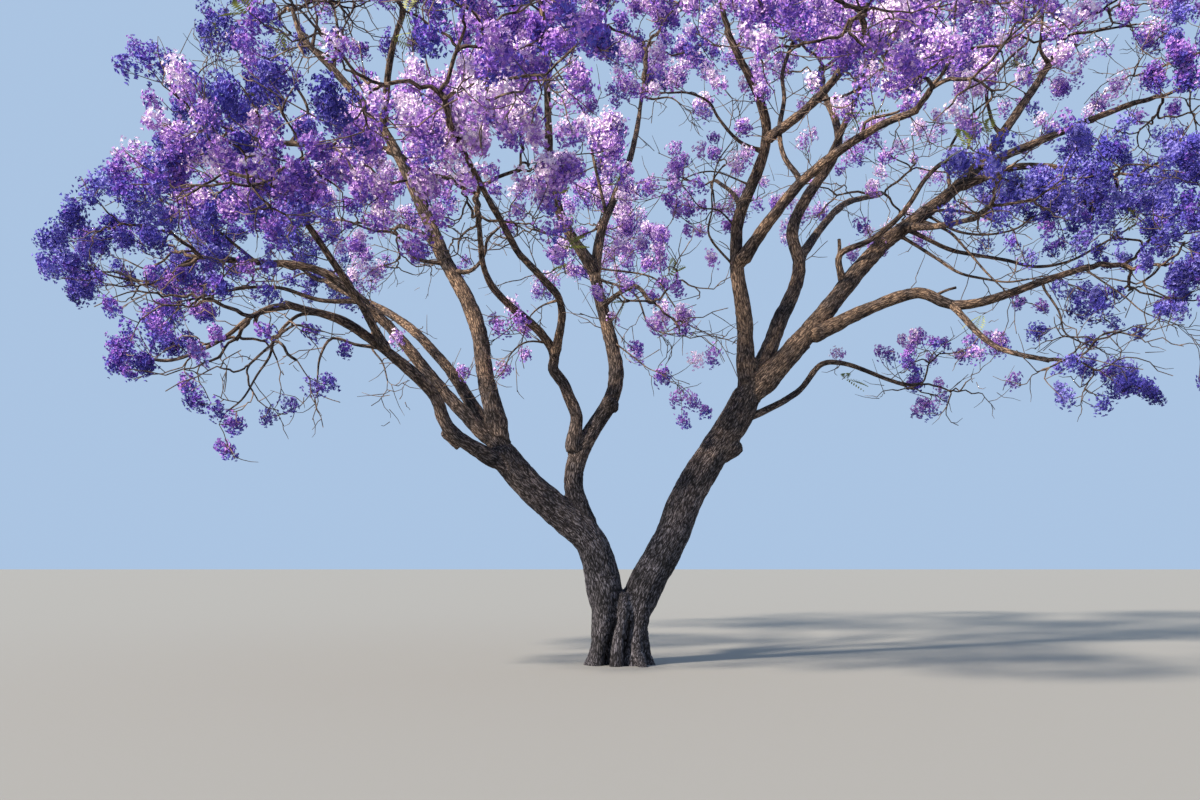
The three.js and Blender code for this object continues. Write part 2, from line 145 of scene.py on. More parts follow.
# %% Camera
IMAGE_WIDTH = 1200
IMAGE_HEIGHT = 800
FOCAL_LENGTH = 1050  # pixels
HORIZON_ROW = 557  # pixels from the top
EYE = (-0.3, -15.7, 1.6)

lens = bpy.data.cameras.new("viewpoint")
lens.sensor_width = 36
lens.lens = lens.sensor_width * FOCAL_LENGTH / IMAGE_WIDTH
lens.shift_y = (HORIZON_ROW - IMAGE_HEIGHT / 2) / IMAGE_WIDTH
camera = new_object("viewpoint", lens)
camera.location = EYE
camera.rotation_euler = (math.radians(90), 0, 0)
scene.camera = camera
print("lens", round(lens.lens, 1), "mm, shift", round(lens.shift_y, 3))

# %% [markdown]
# ## Light and floor
#
# Blossom is thin and soft, and looks right in broad light. A sun lamp with a wide disc stands
# for a sun low in front and to the left, and because it has no falloff the near and the far
# boughs are lit alike. A pale blue sky fills the shadows, and the floor is plain and pale.

# %% Light and floor
SUN_COMES_FROM = (-0.8, -0.55, 0.62)
SUN_DISC = 5  # degrees
SUN_POWER = 7.8
SKY_POWER = 0.86
FLOOR_REACH = 120  # metres

lamp = bpy.data.lights.new("sunlight", "SUN")
lamp.energy = SUN_POWER
lamp.angle = math.radians(SUN_DISC)
lamp.color = linear("#FFF1DE")[:3]
sunlight = new_object("sunlight", lamp)
across, towards, up = SUN_COMES_FROM
sunlight.rotation_euler = (math.atan2(math.hypot(across, towards), up), 0, math.atan2(across, -towards))

world = bpy.data.worlds.new("pale_sky")
world.use_nodes = True
sky = world.node_tree.nodes["Background"].inputs
sky["Color"].default_value = linear("#B7D2F2")
sky["Strength"].default_value = SKY_POWER
scene.world = world
scene.view_settings.view_transform = "Standard"

matt_floor, _, _ = new_material("matt_floor", {"Base Color": linear("#8F8E8A"), "Roughness": 1.0})
corners = [(x * FLOOR_REACH, y * FLOOR_REACH, 0) for x, y in ((-1, -1), (1, -1), (1, 1), (-1, 1))]
floor_mesh = bpy.data.meshes.new("floor")
floor_mesh.from_pydata(corners, [], [(0, 1, 2, 3)])
floor_mesh.materials.append(matt_floor)
new_object("floor", floor_mesh)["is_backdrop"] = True
print("sun", SUN_POWER, "sky", SKY_POWER)

# %% [markdown]
# ## The skeleton
#
# A bough is a line first and wood second. Each limb here is a few points in millimetres that a
# smooth curve passes through, with the limb it grows on, how far along that limb it leaves it,
# and its thickness at both ends. These are the numbers that the solids were made from, so the
# wood below covers them. The curve is a centripetal spline, which doesn't overshoot.

# %% Table of limbs
LIMBS = [
    ("stem_left", None, 0, 300, 205,
     [(-135, 0, -150), (-150, 0, 560), (-235, 0, 1110), (-464, -20, 1854), (-1000, -60, 2340),
      (-1526, -180, 2850), (-1795, -280, 3240)]),
    ("stem_right", None, 0, 298, 225,
     [(125, 0, -150), (150, 0, 560), (350, 0, 1107), (740, 30, 1854), (1130, 80, 2740),
      (1720, 170, 3640), (1990, 200, 4160)]),
    ("left_low", "stem_left", 0.88, 130, 45,
     [(-2430, -780, 3400), (-2640, -1000, 3880), (-3580, -1800, 4650), (-4230, -2600, 4760)]),
    ("left_outer", "stem_left", 0.95, 125, 45,
     [(-2850, -420, 4320), (-3440, -500, 5020), (-4320, -700, 5700), (-5270, -800, 5790)]),
    ("left_back", "stem_left", 0.97, 115, 45,
     [(-2680, 500, 4560), (-3520, 1200, 5400), (-4950, 2400, 6290)]),
    ("left_high", "stem_left", 0.97, 160, 45,
     [(-1940, -280, 4100), (-2160, -200, 5160), (-2650, 0, 6120), (-3600, 300, 8110), (-4960, 600, 9700)]),
    ("centre_up", "stem_left", 0.45, 185, 45,
     [(-700, 70, 2900), (-80, 150, 4180), (-360, 500, 6150), (240, 1600, 8340), (480, 2500, 9970)]),
    ("right_up", "stem_right", 0.97, 155, 45,
     [(1900, 200, 5000), (1750, 0, 6490), (2120, -450, 7800), (1450, -1200, 8880)]),
    ("right_high", "stem_right", 0.95, 180, 45,
     [(2760, 100, 4900), (3980, 400, 6330), (5400, 600, 7480), (6240, 800, 8560), (7000, 1000, 9660)]),
    ("right_back", "stem_right", 0.97, 135, 45,
     [(2480, 560, 5200), (2860, 1000, 6200), (2800, 1200, 6900), (3620, 1600, 8420), (3500, 2200, 9560)]),
    ("left_front", "left_low", 0.62, 65, 36, [(-3420, -2500, 4950), (-3790, -3500, 5600)]),
    ("left_upper", "left_high", 0.47, 80, 40,
     [(-3370, 420, 7760), (-4700, 700, 8020), (-5650, 850, 8150)]),
    ("left_crown", "left_high", 0.72, 62, 36, [(-3320, -500, 8870), (-2990, -1300, 9100)]),
    ("back_left", "left_high", 0.3, 82, 40, [(-3170, 2000, 6940), (-4100, 4300, 7920)]),
    ("centre_left", "centre_up", 0.16, 120, 42,
     [(-1000, -400, 4620), (-1820, -1200, 5380), (-1850, -2400, 5970)]),
    ("centre_front", "centre_left", 0.36, 85, 40,
     [(-840, -900, 5100), (-1360, -2600, 5480), (-1830, -4600, 6050)]),
    ("centre_top", "centre_up", 0.5, 92, 42, [(-940, 200, 6900), (-1100, -400, 9130)]),
    ("back_centre", "centre_up", 0.38, 85, 40, [(-470, 2200, 6490), (-880, 4700, 7760)]),
    ("centre_droop", "centre_up", 0.44, 44, 28, [(190, -500, 5520), (390, -1200, 5120)]),
    ("right_front", "right_up", 0.36, 105, 42,
     [(2520, -900, 6860), (3300, -2000, 7200), (3620, -2700, 7130)]),
    ("front_right", "right_up", 0.7, 75, 40, [(2500, -1700, 7620), (2650, -4000, 7360)]),
    ("middle", "right_up", 0.5, 46, 28, [(1800, 600, 7200), (1620, 1600, 7800)]),
    ("right_crown", "right_back", 0.68, 66, 36, [(3800, 600, 9020), (3900, -100, 9300)]),
    ("back_right", "right_back", 0.42, 82, 40, [(3880, 2600, 7700), (5030, 4300, 8500)]),
    ("right_low", "right_high", 0.16, 125, 42,
     [(4350, -200, 5480), (4920, -400, 5280), (6560, -1000, 5670)]),
    ("right_droop", "right_low", 0.55, 55, 28, [(5170, -1200, 4500), (5600, -1900, 4180)]),
    ("right_front_low", "right_high", 0.48, 66, 34, [(4560, -700, 6330), (4630, -1900, 6050)]),
    ("right_mid", "right_high", 0.62, 70, 36, [(6000, 150, 7480), (6720, -600, 7150)]),
    ("right_outer", "right_high", 0.68, 76, 40, [(6300, 500, 7950), (7750, 100, 8440)]),
    ("right_under", "stem_right", 0.86, 66, 30,
     [(2750, 560, 4150), (3250, 850, 4660), (4670, 1400, 4400)]),
]

# %% Smooth curves through the points
def smooth_path(points, steps=40):
    points = np.array(points, float)
    padded = np.vstack([2 * points[0] - points[1], points, 2 * points[-1] - points[-2]])
    stretches = []
    for i in range(len(points) - 1):
        p0, p1, p2, p3 = padded[i : i + 4]
        d0, d1, d2 = (math.sqrt(np.linalg.norm(b - a)) for a, b in ((p0, p1), (p1, p2), (p2, p3)))
        m1 = ((p1 - p0) / d0 - (p2 - p0) / (d0 + d1) + (p2 - p1) / d1) * d1
        m2 = ((p2 - p1) / d1 - (p3 - p1) / (d1 + d2) + (p3 - p2) / d2) * d1
        s = np.linspace(0, 1, steps, endpoint=False)[:, None]
        cubic = (2 * p1 - 2 * p2 + m1 + m2) * s**3 + (-3 * p1 + 3 * p2 - 2 * m1 - m2) * s**2
        stretches.append(cubic + m1 * s + p1)
    return np.vstack([*stretches, points[-1:]])


def unit(vectors):
    vectors = np.asarray(vectors, float)
    return vectors / np.maximum(np.linalg.norm(vectors, axis=-1, keepdims=True), 1e-9)


class Limb:
    """A limb's centre line, with its length, its thickness and the frames that its bark follows."""

    def __init__(self, name, parent, share, start, end, points):
        root = [parent.at(share)] if parent else []
        self.name, self.parent = name, parent
        self.line = smooth_path([*root, *(np.array(points) / 1000)])
        steps = np.linalg.norm(np.diff(self.line, axis=0), axis=1)
        self.along = np.concatenate([[0], np.cumsum(steps)])
        self.length = self.along[-1]
        self.start, self.end = start / 1000, end / 1000
        self.buried = parent.radius(share) if parent else 0.0

    def at(self, share):
        want = np.asarray(share) * self.length
        return np.stack([np.interp(want, self.along, self.line[:, k]) for k in range(3)], -1)

    def radius(self, share):
        return self.start + (self.end - self.start) * np.asarray(share, float) ** 0.8


limbs = {}
for name, parent, share, start, end, points in LIMBS:
    limbs[name] = Limb(name, limbs.get(parent), share, start, end, points)
print("limbs:", len(limbs), "and", round(sum(limb.length for limb in limbs.values())), "m of them")

# %% [markdown]
# ## Side boughs
#
# Between the limbs runs a web of thinner boughs that shows wherever the crown is open, most of
# all in its right half. They are told in the same way as the limbs: what each grows on, how far
# along it leaves, and its thickness, and then how thickly and in what cast of colour it flowers.

# %% Table of side boughs
# Each cast is the blossom's own tone with painted light in it too: deep and blue are partly painted shade,
# bright is partly painted sunlight.
SIDE_BOUGHS = [
    ("right_low", 0.85, 20, 9, 0.6, "blue", [(5980, -850, 5400), (6130, -1000, 5030),
     (6160, -1110, 4710), (6330, -1200, 4570), (6530, -1290, 4470)]),
    ("right_low", 0.98, 16, 7, 0.5, "blue", [(6990, -1120, 5210), (7190, -1220, 4980),
     (7560, -1370, 4780)]),
    ("right_high", 0.46, 32, 14, 0.2, "violet", [(4820, 290, 6150), (5130, 130, 5880),
     (5440, 0, 5760), (5750, -130, 5680), (6010, -250, 5690)]),
    ("right_high", 0.48, 40, 14, 0.5, "blue", [(5110, 620, 6390), (5570, 730, 6330),
     (6140, 870, 6270), (6610, 980, 6210), (7200, 1120, 6340), (7850, 1290, 6680),
     (8530, 1460, 7080)]),
    ("right_high", 0.51, 30, 12, 0.15, "violet", [(4990, 270, 6560), (5190, 50, 6220),
     (5370, -190, 5840), (5550, -420, 5520)]),
    ("right_high", 0.53, 26, 12, 0.3, "blue", [(5230, 410, 6590), (5640, 310, 6520),
     (6020, 200, 6580), (6260, 130, 6740), (6700, 0, 6790)]),
    ("right_high", 0.53, 28, 14, 0.8, "blue", [(4930, 370, 6910), (5320, 170, 6800),
     (5620, 0, 6610)]),
    ("right_high", 0.3, 55, 30, 0.4, "bright", [(3330, 190, 6170), (3760, 100, 6370),
     (4100, 20, 6610), (4310, -50, 6860), (4510, -130, 7190), (4710, -190, 7390),
     (5000, -250, 7500)]),
    ("right_high", 0.56, 36, 16, 0.9, "blue", [(5200, 350, 7320), (5520, 220, 7360),
     (5840, 100, 7270), (6220, -80, 6990)]),
    ("right_high", 0.6, 30, 14, 0.5, "bright", [(5140, 710, 7870), (5330, 850, 8250),
     (5620, 1010, 8650), (5960, 1160, 8950)]),
    ("right_high", 0.77, 34, 14, 0.8, "lilac", [(5890, 790, 8370), (5840, 820, 8570),
     (5820, 900, 8980), (6190, 1010, 9510), (6560, 1100, 9890), (6450, 1170, 10260),
     (6370, 1230, 10580)]),
    ("right_high", 0.96, 34, 16, 0.8, "bright", [(6640, 870, 9630), (6640, 830, 9760),
     (6620, 670, 10190), (6670, 550, 10500)]),
    ("right_high", 0.98, 30, 14, 0.8, "bright", [(7090, 890, 9830), (7410, 750, 9830),
     (7750, 580, 9820), (7970, 480, 9810)]),
    ("right_front", 0.4, 45, 26, 0.7, "lilac", [(2520, -840, 6940), (2310, -780, 7300),
     (2260, -720, 7700), (2340, -660, 8160), (2320, -610, 8530), (2440, -550, 8940)]),
    ("right_front_1", 0.45, 32, 16, 0.7, "lilac", [(2430, -830, 7740), (2730, -960, 7980),
     (3150, -1080, 8040), (3340, -1160, 8170), (3440, -1240, 8410)]),
    ("right_front", 0.73, 24, 14, 0.1, "lilac", [(3200, -1850, 7340), (3630, -1960, 7440),
     (3770, -2010, 7570)]),
    ("right_up", 0.35, 22, 9, 0.35, "rose", [(1320, -50, 6410), (1360, -140, 6740),
     (1350, -200, 6990), (1430, -310, 7390), (1600, -390, 7620)]),
    ("right_up", 0.58, 16, 7, 0.5, "rose", [(1370, -30, 7360), (1020, 100, 7320), (760, 240, 7140),
     (540, 330, 7080)]),
    ("right_up", 0.67, 34, 14, 0.6, "lilac", [(1730, -370, 7670), (1410, -460, 7990),
     (1280, -510, 8180), (970, -570, 8290), (660, -630, 8260)]),
    ("right_up", 0.46, 18, 8, 0.5, "rose", [(1440, -240, 6710), (1160, -420, 6690),
     (960, -610, 6850)]),
    ("centre_up", 0.62, 30, 12, 0.8, "violet", [(-400, 900, 7900), (-480, 700, 8400),
     (-780, 500, 8800), (-1050, 350, 9180)]),
    ("centre_up", 0.94, 24, 10, 0.6, "lilac", [(580, 2140, 9380), (880, 2030, 9360),
     (1080, 1940, 9190)]),
    ("centre_up", 0.49, 22, 9, 0.5, "rose", [(220, 220, 5590), (430, 0, 5080), (650, -120, 4920),
     (990, -290, 4890)]),
    ("centre_up", 0.51, 18, 8, 0.6, "rose", [(530, 120, 5790), (740, -70, 5430), (990, -290, 5020),
     (1240, -440, 4860)]),
    ("centre_up", 0.38, 16, 8, 0.6, "rose", [(250, -70, 4530), (420, -250, 4370),
     (550, -360, 4300)]),
    ("centre_left", 0.41, 18, 8, 0.7, "rose", [(-1360, -600, 4690), (-1570, -740, 4490),
     (-1640, -860, 4260)]),
    ("centre_left", 0.47, 16, 8, 0.4, "rose", [(-1460, -440, 5070), (-1650, -300, 4930),
     (-1840, -190, 4820)]),
    ("centre_front", 0.21, 18, 8, 0.6, "rose", [(-1130, -960, 5120), (-1300, -870, 4980),
     (-1390, -770, 4740)]),
    ("left_high", 0.4, 36, 16, 0.3, "lilac", [(-3010, -220, 6010), (-3270, -470, 6290),
     (-3540, -630, 6280), (-3840, -820, 6350)]),
    ("left_high", 0.38, 36, 18, 0.3, "lilac", [(-2190, -220, 5830), (-1990, -380, 6010),
     (-1930, -510, 6190), (-1750, -650, 6320)]),
    ("left_high", 0.75, 24, 12, 0.9, "violet", [(-3280, 260, 8560), (-3040, 190, 8850),
     (-3120, 130, 9180), (-3060, 30, 9670)]),
    ("left_high", 0.89, 30, 14, 0.7, "deep", [(-4370, 600, 9780), (-4510, 720, 10310),
     (-4600, 790, 10630)]),
    ("left_high", 0.96, 30, 14, 0.7, "deep", [(-4650, 440, 9890), (-4690, 350, 10110),
     (-4740, 260, 10340)]),
    ("left_high", 0.9, 20, 10, 0.7, "deep", [(-4250, 420, 9690), (-4070, 340, 10020),
     (-4110, 290, 10270)]),
    ("left_upper", 0.97, 22, 10, 0.7, "deep", [(-5660, 720, 8530), (-5840, 550, 8870),
     (-6030, 430, 9050)]),
    ("left_upper", 0.87, 30, 14, 0.8, "deep", [(-4900, 850, 8580), (-5120, 930, 9050),
     (-5420, 1000, 9310), (-5920, 1080, 9490)]),
    ("left_low", 0.87, 26, 10, 0.7, "purple", [(-4160, -2240, 4700), (-4430, -2360, 4370),
     (-4480, -2420, 4130), (-4610, -2500, 3890), (-4770, -2590, 3570), (-4930, -2660, 3410)]),
    ("left_low", 0.64, 30, 12, 0.7, "purple", [(-3580, -1580, 4450), (-3880, -1690, 4510),
     (-4010, -1780, 4250), (-4020, -1880, 3920)]),
    ("left_low", 0.98, 40, 16, 0.8, "purple", [(-4620, -2600, 4620), (-4900, -2660, 4380),
     (-5170, -2710, 4190), (-5590, -2780, 4020), (-5940, -2830, 4050)]),
    ("left_outer", 0.64, 40, 16, 0.4, "violet", [(-4310, -660, 5280), (-4830, -780, 5420),
     (-5270, -880, 5400), (-5730, -990, 5280), (-6040, -1070, 5180)]),
    ("left_outer", 0.91, 34, 14, 0.6, "deep", [(-5330, -700, 5830), (-5860, -640, 5890),
     (-6220, -600, 5860), (-6590, -550, 5610), (-7040, -500, 5600), (-7460, -460, 5700)]),
    ("left_outer", 0.98, 26, 12, 0.6, "bright", [(-5740, -990, 6250), (-6010, -1150, 6490),
     (-6280, -1290, 6610)]),
    ("left_outer", 0.58, 22, 10, 0.6, "rose", [(-3580, -680, 4630), (-3370, -860, 4340),
     (-3270, -1020, 4060)]),
]
STUBS = [  # where a broken bough has left its foot
    ("right_low", 0.48, 24, 20, [(4794, -287, 5519), (4926, -287, 5556)]),
    ("right_high_6", 0.17, 30, 26, [(3325, 190, 6300), (3316, 190, 6410)]),
]

grown = dict(limbs)
side_boughs = []
for parent, share, start, end, fullness, cast, points in SIDE_BOUGHS:
    count = sum(1 for other in side_boughs if other.parent is grown[parent])
    bough = Limb(f"{parent}_{count + 1}", grown[parent], share, start, end, points)
    bough.fullness, bough.cast = fullness, cast
    grown[bough.name] = bough
    side_boughs.append(bough)
stubs = [Limb(f"stub_{i}", grown[row[0]], *row[1:]) for i, row in enumerate(STUBS)]
print("side boughs:", len(side_boughs), "and stubs:", len(stubs))

# %% [markdown]
# ## Masses of blossom
#
# Each limb but the two stems ends in a mass of blossom. A mass keeps to its own space, an
# ellipsoid given by how far its middle lies beyond the limb's tip and by its half sizes. The
# count is how many sprays it carries. Fullness says how thick the blossom stands, because the
# left and the middle of this crown are dense and its right half is open. The last
# word is the mass's cast of colour.

# %% Table of masses
# Casts as for the side boughs: deep and blue are partly painted shade, bright is partly painted sunlight.
MASSES = [
    ("left_low", (-620, -560, -560), (1500, 1450, 1000), 32, 0.55, "purple"),
    ("left_outer", (-1630, -50, 160), (1500, 1600, 1050), 40, 1.0, "deep"),
    ("left_back", (-1550, 1050, 960), (2000, 2000, 1200), 42, 1.0, "deep"),
    ("left_high", (-150, 100, 900), (1750, 2100, 1200), 42, 1.0, "deep"),
    ("left_upper", (-1200, 250, 560), (1450, 1700, 1050), 40, 1.1, "deep"),
    ("left_front", (-440, -900, 380), (1550, 1600, 1000), 40, 1.1, "violet"),
    ("left_crown", (-500, -1500, 100), (1850, 1700, 1150), 42, 0.9, "violet"),
    ("back_left", (-450, 1100, 150), (2250, 2050, 1300), 44, 1.0, "violet"),
    ("centre_left", (100, -1150, 60), (1850, 1450, 1100), 38, 1.15, "lilac"),
    ("centre_front", (-20, -1500, 280), (1900, 1500, 1050), 42, 1.0, "violet"),
    ("centre_up", (110, 550, 1350), (2250, 2150, 1150), 44, 1.0, "violet"),
    ("centre_top", (-150, -150, 1150), (2200, 2150, 1200), 44, 1.0, "violet"),
    ("back_centre", (-220, 1150, 300), (2200, 1900, 1300), 44, 1.0, "lilac"),
    ("centre_droop", (60, -760, -120), (1150, 1150, 850), 16, 0.5, "rose"),
    ("right_up", (-100, -50, 1150), (1950, 1900, 1150), 40, 0.9, "lilac"),
    ("right_front", (120, -800, 420), (1750, 1500, 1050), 34, 0.6, "lilac"),
    ("front_right", (-600, -1550, -60), (1800, 1500, 1050), 38, 0.75, "lilac"),
    ("middle", (-100, 1100, 250), (1100, 1200, 1150), 14, 0.6, "rose"),
    ("right_crown", (420, -700, 560), (1950, 1900, 1100), 40, 0.8, "lilac"),
    ("right_back", (280, 850, 1350), (2150, 2100, 1150), 42, 0.9, "lilac"),
    ("back_right", (350, 950, 400), (2500, 2050, 1300), 44, 0.65, "bright"),
    ("right_low", (1000, -150, -60), (1450, 1600, 1000), 34, 0.9, "blue"),
    ("right_droop", (420, -550, -20), (1100, 1100, 700), 20, 0.6, "blue"),
    ("right_front_low", (-20, -1150, 0), (950, 1050, 650), 16, 0.8, "blue"),
    ("right_mid", (550, -500, -300), (1450, 1500, 850), 28, 1.0, "blue"),
    ("right_outer", (700, -50, 150), (1350, 1650, 1050), 34, 0.9, "blue"),
    ("right_high", (150, 250, 850), (2050, 2050, 1150), 42, 0.9, "bright"),
    ("right_under", (600, 250, 180), (1350, 1300, 850), 22, 0.55, "violet"),
]
GOLDEN_ANGLE = math.pi * (3 - math.sqrt(5))
SEED_STEP = 7919  # from one mass's random numbers to the next one's
SEED_START = 17
RANDOM_FACTOR = 16807  # with the range, the plain generator that the solids' spots use
RANDOM_RANGE = 2147483647
INNERMOST = 0.62  # where a mass's outer part begins, as a share of its half size
TURN_SPREAD = 0.5  # radians
EDGE_MARGIN = 0.15  # metres inside the outline on the left
OWN_MARGIN = 0.01  # how much deeper a place lies in its own mass than in any other


class Mass:
    """The space of one mass of blossom."""

    def __init__(self, number, name, beyond, half, sprays, fullness, cast):
        self.limb = limbs[name]
        self.cast, self.fullness, self.sprays = cast, fullness, sprays
        self.tip = self.limb.at(1.0)
        self.middle = self.tip + np.array(beyond) / 1000
        self.half = np.array(half) / 1000
        self.state = number * SEED_STEP + SEED_START

    def random(self):
        self.state = self.state * RANDOM_FACTOR % RANDOM_RANGE
        return self.state / RANDOM_RANGE

    def depth(self, places):
        return np.linalg.norm((np.asarray(places) - self.middle) / self.half, axis=-1)


masses = [Mass(number, *row) for number, row in enumerate(MASSES, 1)]
print("masses:", len(masses), "with room for", sum(mass.sprays for mass in masses), "sprays")


def keeps_to_its_space(mass, place):
    own = mass.depth(place)
    return own <= 1.0 and all(m is mass or m.depth(place) > own + OWN_MARGIN for m in masses)


def spots_in(mass):
    """Spots spread evenly through the outer part of a mass's space, one for each spray."""
    spots = []
    for i in range(mass.sprays):
        height = 1 - 2 * (i + 0.5) / mass.sprays
        turn = i * GOLDEN_ANGLE + mass.random() * TURN_SPREAD
        out = INNERMOST + (1 - INNERMOST) * math.sqrt(mass.random())
        level = math.sqrt(1 - height * height)
        ball = np.array([math.cos(turn) * level, math.sin(turn) * level, height])
        spot = mass.middle + ball * out * mass.half
        if not beyond_edge(spot, EDGE_MARGIN):
            spots.append(spot)
    return np.array(spots)


# %% [markdown]
# ## What shows from the front
#
# Blossom doesn't fill a crown evenly. Seen from the front there are holes that let the light
# through, a ragged outline on the left, and long stretches of dark limb with nothing in front of
# them. Its tones lie in broad patches too. All of this is told in metres in the picture plane,
# which is the upright plane through the trunk: where a straight line from the eye to a panicle
# crosses it. A row's first four numbers are the middle and the half size of an ellipse there.

# %% Holes, outline, bare stretches and patches of tone
CLEARINGS = [  # an ellipse, and the share of panicles that stays
    (-5.8, 8.91, 0.18, 0.13, 0.1), (-4.71, 9.18, 0.39, 0.24, 0.3), (-3.41, 8.7, 0.21, 0.36, 0.1),
    (-2.44, 9.43, 0.27, 0.36, 0.2), (0.07, 8.61, 0.3, 0.48, 0.4), (0.72, 8.1, 0.54, 0.42, 0.2),
    (1.42, 7.38, 0.33, 0.87, 0.4), (0.42, 7.09, 0.21, 0.54, 0.3), (-1.75, 6.2, 0.6, 0.63, 0.12),
    (-2.62, 5.5, 0.93, 0.37, 0.15), (1.19, 6.01, 0.48, 0.6, 0.35), (2.99, 6.86, 0.51, 0.87, 0.25),
    (3.77, 9.55, 0.27, 0.27, 0.5), (7.5, 8.21, 0.3, 0.45, 0.5), (8.29, 8.13, 0.42, 0.19, 0.15),
    (5.68, 6.01, 1.12, 0.48, 0.22), (7.85, 4.87, 0.67, 0.39, 0.05), (8.3, 4.3, 0.35, 0.4, 0.05),
    (-5.01, 4.66, 0.93, 0.42, 0.35), (-5.95, 5.26, 0.66, 0.18, 0.6), (4.56, 7.53, 0.21, 0.21, 0.4),
    (-0.9, 4.99, 1.05, 0.75, 0.35), (5.83, 4.17, 0.6, 0.3, 0.4), (-5.83, 4.02, 0.6, 0.24, 0.5),
    (-4.2, 3.5, 0.8, 0.4, 0.05), (-2.2, 3.5, 1.3, 0.45, 0.03),
]
